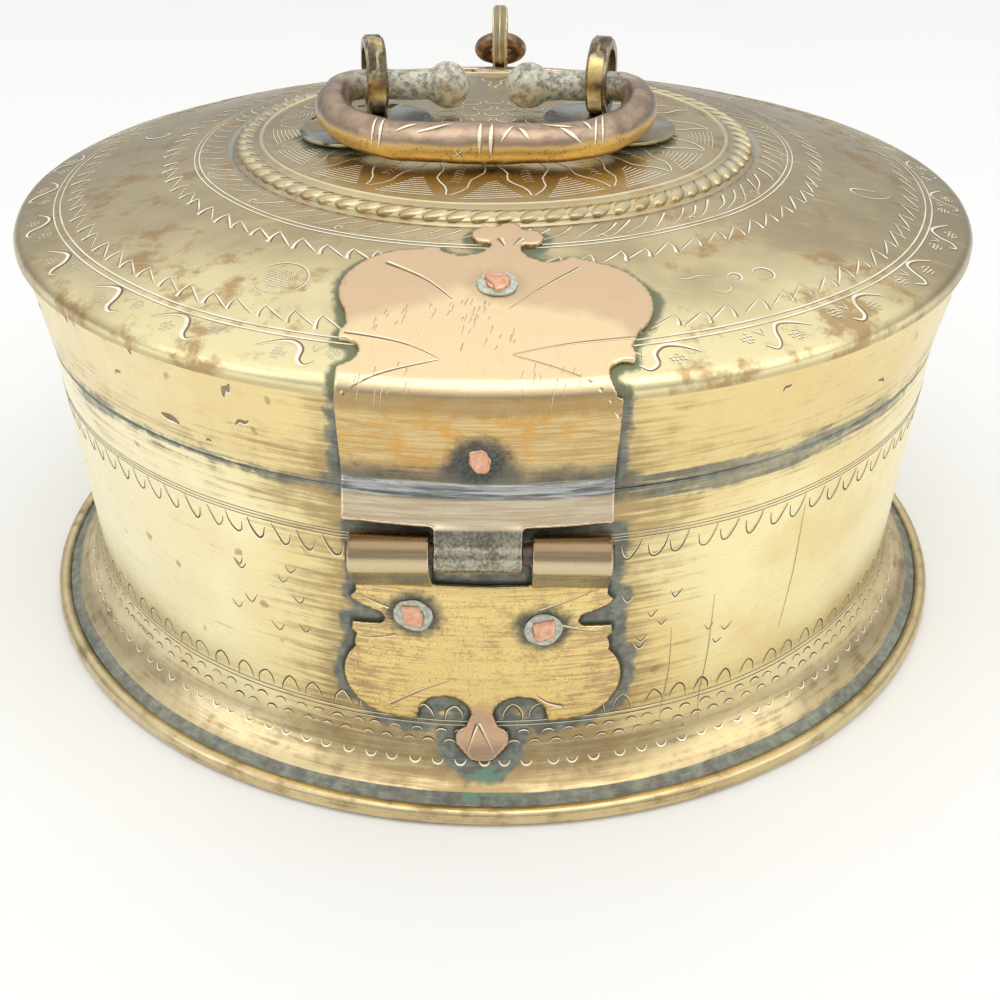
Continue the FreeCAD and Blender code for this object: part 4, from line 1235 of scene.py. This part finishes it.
# Each pair is one cut in a lit and a shaded copy: the bright and pale metals are painted highlights, the shaded and
# dark ones painted shade.
BRIGHT_CUT = engraved_metal("engraving_bright", (0.95, 0.91, 0.76), (0.78, 0.70, 0.48), 0.3, 0.35)
SHADED_CUT = engraved_metal("engraving_shaded", (0.28, 0.20, 0.12), (0.44, 0.33, 0.22), 0.35)
DARK_CUT = engraved_metal("engraving_dark", (0.15, 0.11, 0.06), (0.36, 0.28, 0.16), 0.4)
PALE_CUT = engraved_metal("engraving_pale", (0.98, 0.93, 0.70), (0.88, 0.76, 0.46), 0.25, 0.6)
LID_CUTS = (BRIGHT_CUT, SHADED_CUT)
WALL_CUTS = (DARK_CUT, PALE_CUT)
print("graver ready")

# %% [markdown]
# The lid's rings of teeth come first. Each tooth is a hard, nearly straight cut and a light
# slanting one that leads to the next. No two are equal, because the hand never is.

# %% Rings and teeth on the lid
lid_cuts = Engraving(dome, over_lid)
DOUBLE_LINE = (112.4, 114.0)
INNER_LINE = (77.0, 78.2)


def teeth(inner, outer, count, thick, slant):
    """A zigzag between two radii: a hard cut inwards, then a light cut to the next tooth."""
    pitch = math.tau / count
    for k in range(count):
        angle = pitch * (k + 0.5) + jitter(0.15) * pitch
        flip = 1 if angle < math.pi else -1
        low, high = inner + jitter(0.5), outer + jitter(0.5)
        heel = (angle, high)
        lean = flip * slant * pitch
        hard = line_of([heel, (angle + lean * 0.3, (low + high) / 2), (angle + lean * 0.15, low)], 3)
        lid_cuts.stroke(hard, thick * graver.uniform(0.8, 1.2), wedge)
        light = line_of([(angle + lean * 0.15, low + 0.3), (angle - flip * pitch * 0.45, (low + high) / 2 + 0.2),
                         (angle - flip * pitch * 0.86, high - 0.2)], 3)
        lid_cuts.stroke(light, thick * graver.uniform(0.4, 0.65), lens)


for radius in DOUBLE_LINE:
    lid_cuts.stroke(whole_ring(radius), 0.5, even, 0.75)
for radius in INNER_LINE:
    lid_cuts.stroke(whole_ring(radius), 0.4, even, 0.75)
teeth(82.0, 86.2, 80, 1.25, 0.35)
teeth(106.0, 110.3, 94, 1.15, 0.30)
lid_cuts.made("lid_engraving_rings", LID_CUTS, "lid", "lid_brass")

# %% [markdown]
# Between the groove and the inner line lie feathers: long cuts that leave the groove and sweep
# round with it. Near the front some carry a comb of ticks, and some end in a curl.

# %% Feathers on the lid
FEATHERS = 92


def feather(angle, sweep):
    """One cut from the groove outwards, swept against the angle."""
    low, high = 70.6 + jitter(0.3), 76.0 + jitter(0.6)
    path = line_of([(angle, low), (angle - sweep * 0.35, low + 2.6), (angle - sweep * 0.7, high - 0.9),
                    (angle - sweep, high)], 4)
    lid_cuts.stroke(path, graver.uniform(0.55, 0.85), wedge)
    return path


for k in range(FEATHERS):
    angle = math.tau * k / FEATHERS + jitter(0.012)
    front = math.cos(angle) > 0.35
    sweep = math.radians(graver.uniform(6, 9) if front else graver.uniform(3.0, 5.0))
    path = feather(angle, sweep)
    if front and k % 2 == 0:
        for u, v in path[2:-2]:
            tick = [(u, v), (u - 0.010, v + 0.75)]
            lid_cuts.stroke(tick, 0.30, wedge)
    if k % 5 == 2:
        u, v = path[-1]
        lid_cuts.stroke(placed(oval(0.8, 0.7, 80, 380, 8), u, v - 0.7, v), 0.32, even)
lid_cuts.made("lid_engraving_feathers", LID_CUTS, "lid", "lid_brass")

# %% [markdown]
# The lid's border is a running wave with clusters of little grains in its hollows. The wave is
# broken, as if the cutter had turned the lid between two sweeps.

# %% The border's waves and grains
BORDER_MIDDLE = 118.2
WAVES = 28


def grains(angle, base, reach, wide, high, flip=1):
    """A patch of short grains in slanting rows."""
    for row in range(4):
        for place in range(5):
            u = (place - 2) * wide / 4 + jitter(0.12) + row * 0.12
            v = (row - 1.5) * high / 3 + jitter(0.12)
            if (u / wide) ** 2 + (v / high) ** 2 < 0.30:
                path = placed([(u - 0.28, v - 0.20), (u + 0.28, v + 0.22)], angle, base, reach, flip)
                lid_cuts.stroke(path, 0.42, even)


def border_wave(angle, flip):
    """One sweep of the wave with its grains and a fork."""
    sweep = [(-7.2, 1.6), (-5.4, 3.0), (-3.4, 1.8), (-2.6, -1.2), (-0.4, -3.2), (3.2, -2.6), (7.0, -0.2)]
    sweep = [(u + jitter(0.3), v + jitter(0.25)) for u, v in sweep]
    lid_cuts.stroke(placed(line_of(sweep, 4), angle, BORDER_MIDDLE, BORDER_MIDDLE, flip),
                    graver.uniform(1.1, 1.45), lens)
    for start, end in (((-7.6, -3.0), (-5.6, -0.8)), ((-5.2, -3.2), (-5.7, -0.9))):
        lid_cuts.stroke(placed([start, ((start[0] + end[0]) / 2 + 0.2, (start[1] + end[1]) / 2), end],
                               angle, BORDER_MIDDLE, BORDER_MIDDLE, flip), 0.45, lens)
    grains(angle + flip * 1.6 / 118, BORDER_MIDDLE + 0.9, BORDER_MIDDLE, 3.4, 2.6, flip)
    grains(angle - flip * 9.6 / 118, BORDER_MIDDLE - 1.2, BORDER_MIDDLE, 3.2, 2.6, flip)


for k in range(WAVES):
    angle = math.tau * (k + 0.5) / WAVES + jitter(0.02)
    border_wave(angle, 1 if angle < math.pi else -1)
lid_cuts.made("lid_engraving_border", LID_CUTS, "lid", "lid_brass")

# %% [markdown]
# The plain band carries scattered signs: a ring round a hatched oval, open hooks and small
# rings. The photo shows the front ones, and the same signs go on round the back.

# %% Scattered signs on the plain band
def sign_ring(angle, radius, size, hatched):
    loop = oval(size, size * 0.88, 200, 520, 26)
    lid_cuts.stroke(placed(loop, angle, radius, radius), 0.6, lens)
    if not hatched:
        return
    for row in range(9):
        v = (row - 4) * 0.7
        half = 2.4 * math.sqrt(max(0.0, 1 - (v / 3.2) ** 2))
        for place in range(int(half / 0.45) * 2 + 1):
            u = (place - int(half / 0.45)) * 0.62 + jitter(0.06)
            lid_cuts.stroke(placed([(u - 0.2, v + u * 0.1), (u + 0.2, v + u * 0.1 + 0.1)], angle, radius, radius),
                            0.34, even)


def sign_hook(angle, radius, flip):
    hook = [(4.4, 6.4), (1.0, 4.6), (-1.9, 1.2), (-2.0, -2.2), (0.2, -3.4), (2.2, -1.2), (3.6, 2.6)]
    lid_cuts.stroke(placed(line_of(hook, 4), angle, radius, radius, flip), 0.85, lens)


def sign_curl(angle, radius, flip):
    lid_cuts.stroke(placed(line_of([(-5.2, 1.2), (-1.5, -0.6), (2.6, -0.4), (5.6, -2.2)], 4),
                           angle, radius, radius, flip), 0.6, lens)
    lid_cuts.stroke(placed(oval(2.0, 1.6, 20, 330, 14, (-3.5, 5.0)), angle, radius, radius, flip), 0.4, lens)


SIGNS = ((-26.7, 97.0), (-100.0, 95.0), (74.0, 97.0), (37.0, 100.0), (28.0, 96.0), (128.0, 97.0),
         (150.0, 99.0), (-140.0, 97.0), (-168.0, 96.0))
for number, (degrees, radius) in enumerate(SIGNS):
    angle = math.radians(degrees)
    if number in (0, 5, 7):
        sign_ring(angle, radius, 6.3, True)
    elif number in (1, 2, 6):
        sign_hook(angle, radius, 1 if degrees > 0 else -1)
    elif number in (3, 8):
        sign_ring(angle, radius, 2.5, False)
        sign_ring(angle - 0.07, radius - 1.5, 1.5, False)
    else:
        sign_curl(angle, radius, -1)
lid_cuts.made("lid_engraving_signs", LID_CUTS, "lid", "lid_brass")

# %% [markdown]
# The medallion is a flower of eighteen petals. Wavy double cuts part the petals and meet in
# points at the ring, hatched fans fill the corners between them, and a cluster of small rings
# marks the heart.

# %% The medallion
PETALS = 18
HEART = 2.9


def wavy(angle, inner, outer, lean, thick):
    """A cut from the heart outwards that wavers from side to side."""
    path = []
    for k in range(13):
        t = k / 12
        sway = 0.75 * math.sin(5.2 * math.pi * t) / (inner + (outer - inner) * t)
        path.append((angle + lean * t * t + sway, inner + (outer - inner) * t))
    lid_cuts.stroke(path, thick, even)


for k in range(PETALS):
    angle = math.tau * (k + 0.5) / PETALS + jitter(0.02)
    half = math.pi / PETALS
    for flip in (-1, 1):
        wavy(angle + flip * half * 0.85, 31 + jitter(2), 56.5, -flip * half * 0.80, graver.uniform(0.45, 0.65))
    for row in range(9):
        v = 57.6 - row * 1.05
        wide = half * (1 - row / 10) * 0.72
        middle = angle + half
        lid_cuts.stroke([(middle - wide, v + 0.5), (middle, v), (middle + wide, v - 0.5)], 0.26, even)
    for row in range(7):
        v = 40 + row * 1.5
        lid_cuts.stroke([(angle - 0.024, v + 0.8), (angle, v)], 0.34, lens)
        lid_cuts.stroke([(angle + 0.024, v + 0.8), (angle, v)], 0.34, lens)
for ring_turn in range(3):
    count = (1, 6, 12)[ring_turn]
    for k in range(count):
        angle = math.tau * (k + 0.5 * (ring_turn % 2)) / count
        radius = max(ring_turn * HEART * 2.15, 0.01)
        centre = Vector((radius * math.sin(angle), -radius * math.cos(angle)))
        loop = [centre + Vector(p) for p in oval(HEART * 0.9, HEART * 0.9, 10, 380, 14)]
        lid_cuts.stroke([(math.atan2(p.x, -p.y), p.length) for p in loop], 0.4, even)
lid_cuts.made("lid_engraving_medallion", LID_CUTS, "lid", "lid_brass")

# %% [markdown]
# The rope is only notched on its inner flank, where the chisel could reach: short cuts, one
# between each two lobes, all in the shaded metal as painted shade.

# %% Notches of the rope
notches = Engraving(rope, over_lid)
for k in range(ROPE_LOBES):
    angle = math.tau * (k + 0.5) / ROPE_LOBES
    path = [(angle + 0.010, 63.0), (angle - 0.002, 63.9), (angle - 0.020, 64.9)]
    notches.stroke(path, graver.uniform(0.45, 0.7), wedge, tones=(1, 1))
notches.made("lid_engraving_notches", LID_CUTS, "lid", "lid_brass")

# %% [markdown]
# On the wall the cuts are dark with a bright rim: painted shade in the cut and a painted
# highlight on its rim. Three fine lines run below the seam with a row of hanging hooks. Arches
# stand on the double line at the waist, two rows of scales follow, and bright crescents were
# punched into the flare.

# %% Engraving on the wall
wall_cuts = Engraving(wall, round_wall)
TRIPLE_LINE = (71.1, 70.3, 69.5)
WAIST_LINE = (19.7, 18.6)


def row_on_wall(count, shift=0.0, spread=0.12):
    """Evenly spaced angles with a hand's error."""
    pitch = math.tau / count
    return [pitch * (k + shift) + jitter(spread) * pitch for k in range(count)]


for height in TRIPLE_LINE:
    wall_cuts.stroke(whole_ring(height), 0.26, even)
for height in WAIST_LINE:
    wall_cuts.stroke(whole_ring(height), 0.34, even)
for angle in row_on_wall(118):
    flip = 1 if math.sin(angle) < 0 else -1
    hook = [(-2.3, -0.2), (-1.5, -2.6), (0.1, -4.9), (1.5, -4.3), (2.2, -1.7)]
    hook = [(u + jitter(0.2), v + jitter(0.3)) for u, v in hook]
    wall_cuts.stroke(placed(line_of(hook, 3), angle, 69.2, WALL_REACH, flip), graver.uniform(0.55, 0.85), lens)
for angle in row_on_wall(108):
    flip = 1 if math.sin(angle) < 0 else -1
    arch = [(-2.4, 0.5), (-1.9, 3.0), (0.1, 4.9), (1.6, 3.2), (2.2, 1.1)]
    arch = [(u + jitter(0.2), v + jitter(0.3)) for u, v in arch]
    wall_cuts.stroke(placed(line_of(arch, 3), angle, 19.6, WALL_REACH, flip), graver.uniform(0.6, 0.9), lens)
wall_cuts.made("wall_engraving_arches", WALL_CUTS, "box_body", "wall_brass")

# %% [markdown]
# The scales and crescents are punched, not cut, so each is a short thick arc. The crescents
# face the light: most of each is the pale metal, a painted highlight, so they are the brightest
# marks on the flare.

# %% Scales and crescents on the flare
for row, height in enumerate((16.2, 13.6)):
    for angle in row_on_wall(146, 0.5 * row):
        arc = oval(1.5, 1.2, 165, 15, 6)
        wall_cuts.stroke(placed(arc, angle, height, WALL_REACH), graver.uniform(0.5, 0.8), lens)
for angle in row_on_wall(138):
    arc = oval(1.3, 1.2, 190, 350, 6)
    wall_cuts.stroke(placed(arc, angle, 10.6, WALL_REACH), graver.uniform(0.55, 0.8), lens, 0.3)
for side in (-1, 1):
    for k in range(9):
        angle = side * math.radians(15.5 + graver.uniform(0, 15))
        height = graver.uniform(30, 58)
        mark = [(-1.4, 1.2), (0, -0.7), (1.5, 1.0)]
        mark = [(u + jitter(0.3), v + jitter(0.3)) for u, v in mark]
        wall_cuts.stroke(placed(line_of(mark, 3), angle, height, WALL_REACH, side), 0.55, lens)
for angle, low, high in ((21.5, 14.5, 42.0), (26.5, 12.0, 49.0), (38.0, 30.0, 66.0)):
    turn = math.radians(angle)
    wall_cuts.stroke(line_of([(turn, high), (turn + 0.004, (low + high) / 2), (turn - 0.008, low)], 8), 0.3, lens)
wall_cuts.made("wall_engraving_scales", WALL_CUTS, "box_body", "wall_brass")

# %% [markdown]
# The lid's side took the knocks of a century. Each is a small pit of its own shape, brown with
# painted shade and with a narrow painted highlight along one side, and most of them lie left of
# the hinge, where the box met the shelf.

# %% Knocks on the lid's side
knocks = Engraving(band, round_wall)
for degrees, height, long, wide, tilt in ((-62, 97, 2.6, 1.2, 0.8), (-50, 104, 1.8, 1.3, -1.2), (-38, 105, 2.4, 1.5, -1.5),
                                          (-41, 96.5, 2.2, 0.9, 0.8), (-34, 89.5, 5.0, 2.2, -0.6), (-25, 102, 2.0, 2.0, 1.8),
                                          (-24, 94.5, 3.4, 1.2, 0.9), (-29, 87, 1.4, 0.8, 0.2), (31, 101, 2.0, 0.9, 0.6),
                                          (47, 92, 2.6, 1.1, -0.8), (66, 98, 2.2, 1.0, 0.9), (110, 95, 3.0, 1.3, 0.6),
                                          (152, 99, 2.4, 1.2, -0.9), (-128, 93, 3.2, 1.4, 0.7)):
    path = placed([(-long / 2, -tilt), (-long / 5, 0.2), (long / 5, 0.1), (long / 2, tilt)],
                  math.radians(degrees), height, WALL_REACH)
    knocks.stroke(line_of(path, 3), wide, lens, 0.75)
knocks.made("lid_engraving_knocks", (SHADED_CUT, PALE_CUT), "lid", "wall_brass")

# %% [markdown]
# The plates were decorated with a few straight cuts that run from their notches towards the
# middle. They are cut deeper than the rest, so their painted shade is as wide as their painted
# highlight.

# %% Cuts on the plates
def plate_cuts(node, aim, strokes, name):
    cuts = Engraving(plates[node], aim)
    for path, thick in strokes:
        cuts.stroke(line_of(path, 6), thick * 1.3, wedge, 0.45)
    cuts.made(name, (PALE_CUT, SHADED_CUT), PLATES[node], "plate_brass")


def over_plate(sign):
    """Aims down at a plate, with x along the pin and the distance inwards from it."""
    way = Vector((0, 0.55 * sign, -1)).normalized()

    def aim(u, v):
        return (Vector((u * sign, -(PIN_REACH - v) * sign, 113)) - way * 60) * MM, way
    return aim


def before_plate(sign):
    """Aims at a plate's standing face, with x along the pin and the height."""
    def aim(u, v):
        return Vector((u * sign, -200 * sign, v)) * MM, Vector((0, sign, 0))
    return aim


UPPER_CUTS = [([(-20.8, 42.6), (-12.5, 35.8), (-6.2, 27.6)], 0.9), ([(20.0, 41.0), (12.4, 32.6), (5.3, 24.0)], 0.75),
              ([(-29.0, 16.6), (-16.0, 12.2), (-8.0, 6.6)], 0.65), ([(-30.0, -3.4), (-18.0, 2.6), (-8.0, 6.2)], 0.75),
              ([(30.6, 15.4), (17.0, 12.0), (6.3, 8.1)], 0.65), ([(28.6, -4.4), (17.0, 2.8), (6.3, 7.8)], 0.75),
              ([(3.0, 53.0), (4.1, 49.6)], 1.2), ([(7.8, 53.0), (6.0, 49.6)], 1.2)]
FRONT_CUTS = [([(u, v - 0.4) for u, v in path], thick) for path, thick in UPPER_CUTS]
LOWER_CUTS = [([(-20.2, 52.8), (-24.5, 54.4), (-28.9, 56.6)], 0.6), ([(-19.1, 45.2), (-24.1, 43.6), (-29.2, 43.5)], 0.5),
              ([(17.2, 48.7), (22.0, 46.9), (27.8, 45.6)], 0.6), ([(12.7, 53.2), (19.5, 55.6), (27.0, 58.7)], 0.5),
              ([(-21.3, 24.2), (-14.1, 29.3), (-7.1, 33.1)], 0.8), ([(18.3, 24.6), (15.0, 26.0), (12.2, 28.4)], 0.9),
              ([(-1.1, 20.0), (-2.4, 16.0), (-3.7, 11.8)], 0.8), ([(-0.8, 20.0), (0.8, 16.4), (2.7, 12.8)], 0.8)]
for middle, depth, count in ((-16, 22, 12), (-4, 24, 22), (2, 14, 12), (-18, 2, 10), (14, 2, 12)):
    for k in range(count):
        u, v = middle + jitter(6), depth + jitter(4)
        UPPER_CUTS.append(([(u, v), (u - 0.5, v - graver.uniform(1.2, 3.2))], 0.24))
plate_cuts("rear_upper_plate", over_plate(1), UPPER_CUTS, "rear_upper_engraving")
plate_cuts("front_upper_plate", over_plate(-1), FRONT_CUTS, "front_upper_engraving")
plate_cuts("rear_lower_plate", before_plate(1), LOWER_CUTS, "rear_lower_engraving")
plate_cuts("front_lower_plate", before_plate(-1), LOWER_CUTS, "front_lower_engraving")

# %% [markdown]
# The handle was bound with wire once, and the file left nicks across it: two deep ones in the
# middle, a pair towards each end and slanting ones between. Each is aimed at the bar's own
# middle line, which is measured from the skin.

# %% Nicks on the handle
BAR_SHIFT = -1.6
BAR_SAMPLES = range(-34, 36, 2)
bar_skin = [v.co / MM for v in handle.data.vertices if v.co.y < -12 * MM]
bar_middle = {}
for x in BAR_SAMPLES:
    slice_of_bar = [p for p in bar_skin if abs(p.x - BAR_SHIFT - x) < 0.8]
    bar_middle[x] = sum(slice_of_bar, Vector()) / len(slice_of_bar)


def round_bar(u, turn):
    """Aims at the bar from outside. Turn 0 faces the hinge and 90 degrees is up."""
    left = max(x for x in bar_middle if x <= u)
    middle = bar_middle[left].lerp(bar_middle[left + 2], (u - left) / 2)
    middle.x = BAR_SHIFT + u
    outward = Vector((0, -math.cos(math.radians(turn)), math.sin(math.radians(turn))))
    return (middle + outward * 12) * MM, -outward


NICKS = ((-0.7, -12, -0.4, 72, 1.3), (2.0, -18, 2.2, 70, 1.4), (-26.5, -20, -25.2, 88, 0.7),
         (-24.6, -15, -23.4, 90, 0.9), (-20.5, 42, -15.5, 76, 0.9), (-15.6, 42, -7.2, 78, 1.0),
         (4.2, 20, 7.0, 70, 0.8), (8.4, 64, 10.6, 28, 1.1), (14.0, 84, 20.6, 60, 0.9),
         (18.0, 62, 23.0, 8, 1.2), (23.4, 80, 25.2, 40, 1.0), (26.4, -16, 26.8, 86, 0.8),
         (28.3, -10, 28.2, 84, 0.8), (-7.2, -30, -4.0, 2, 0.6), (-4.6, -32, -6.6, 0, 0.6))
bar_cuts = Engraving(handle, round_bar)
for start, start_turn, end, end_turn, thick in NICKS:
    path = [(start + (end - start) * t / 8, start_turn + (end_turn - start_turn) * t / 8) for t in range(9)]
    # Each nick is a painted highlight on one slope and painted shade on the other.
    bar_cuts.stroke(path, thick, lens, 0.6)
bar_cuts.made("handle_engraving_nicks", (PALE_CUT, SHADED_CUT), "carrying_handle", "handle_bronze")

# %% [markdown]
# Every CAD node names its material slot in the record, so its finish follows from that, and
# each new piece has named its slot when it was dressed. Engraved lines keep their own metal.

# %% Give every piece its finish
SLOT_OF_NODE = {part["node"]: part["material_slot"] for part in frame["record"]["subparts"]}
pieces = [thing for thing in bpy.context.scene.objects if thing.type == "MESH"]
for thing in pieces:
    slot = SLOT_OF_NODE.get(thing.name) or thing["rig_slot"]
    if "engraving" not in thing.name:
        thing.data.materials.clear()
        thing.data.materials.append(FINISHES[slot])
print(len(pieces), "pieces have their finish")

# %% [markdown]
# The box stands on a plain pale floor that runs out of sight. The light is soft: a grey room
# all round, one large panel overhead and two smaller ones at the front left and front right.
# Polished brass shows what it reflects, so the panels matter more than their brightness does.

# %% Floor, room and light panels
def add_floor():
    bpy.ops.object.select_all(action="DESELECT")
    bpy.ops.mesh.primitive_circle_add(vertices=96, radius=6.0, fill_type="NGON", location=(0, 0, 0))
    floor = bpy.context.object
    floor.name = "pale_floor"
    m = Finish("pale_floor")
    shade = m.mix(m.noise(0.004, 2), FLOOR_LOW, FLOOR_HIGH)
    m.finish(shade, 0.9, 0.0, m.noise(0.3, 2), 0.02)
    floor.data.materials.append(m.material)
    return floor


def add_room(horizon, zenith):
    """A grey room that grows brighter towards its ceiling."""
    room = bpy.data.worlds.new("soft_room")
    room.use_nodes = True
    tree = room.node_tree
    way = Wire(tree, tree.nodes.new("ShaderNodeTexCoord").outputs["Generated"])
    height = Wire(tree, way.node("ShaderNodeSeparateXYZ", {}, {0: way}).socket.node.outputs[2])
    shade = height.node("ShaderNodeMix", {"data_type": "RGBA"},
                        {0: height.rising(0.0, 0.85), 6: (*horizon, 1.0), 7: (*zenith, 1.0)}, 2)
    tree.links.new(shade.socket, tree.nodes["Background"].inputs["Color"])
    bpy.context.scene.world = room


def add_panel(name, place, aim, width, height, watts):
    lamp = bpy.data.lights.new(name, "AREA")
    lamp.shape = "RECTANGLE"
    lamp.size = width
    lamp.size_y = height
    lamp.energy = watts
    panel = bpy.data.objects.new(name, lamp)
    place = Vector(place)
    panel.matrix_world = Matrix.Translation(place) @ (place - Vector(aim)).to_track_quat("Z", "Y").to_matrix().to_4x4()
    bpy.context.scene.collection.objects.link(panel)


FLOOR_LOW = (0.84, 0.84, 0.84)
FLOOR_HIGH = (0.88, 0.88, 0.88)
add_floor()
add_room((0.40, 0.41, 0.43), (1.10, 1.10, 1.08))
add_panel("overhead_panel", (0.1, -0.5, 1.5), (0, 0, 0.1), 1.6, 1.2, 6)
add_panel("left_panel", (-1.3, -0.7, 0.7), (0, 0, 0.08), 0.8, 1.0, 2.5)
add_panel("right_panel", (1.3, -0.6, 0.7), (0, 0, 0.08), 0.8, 1.0, 2.5)
bpy.context.scene.view_settings.view_transform = "Standard"
print("floor, room and three panels")
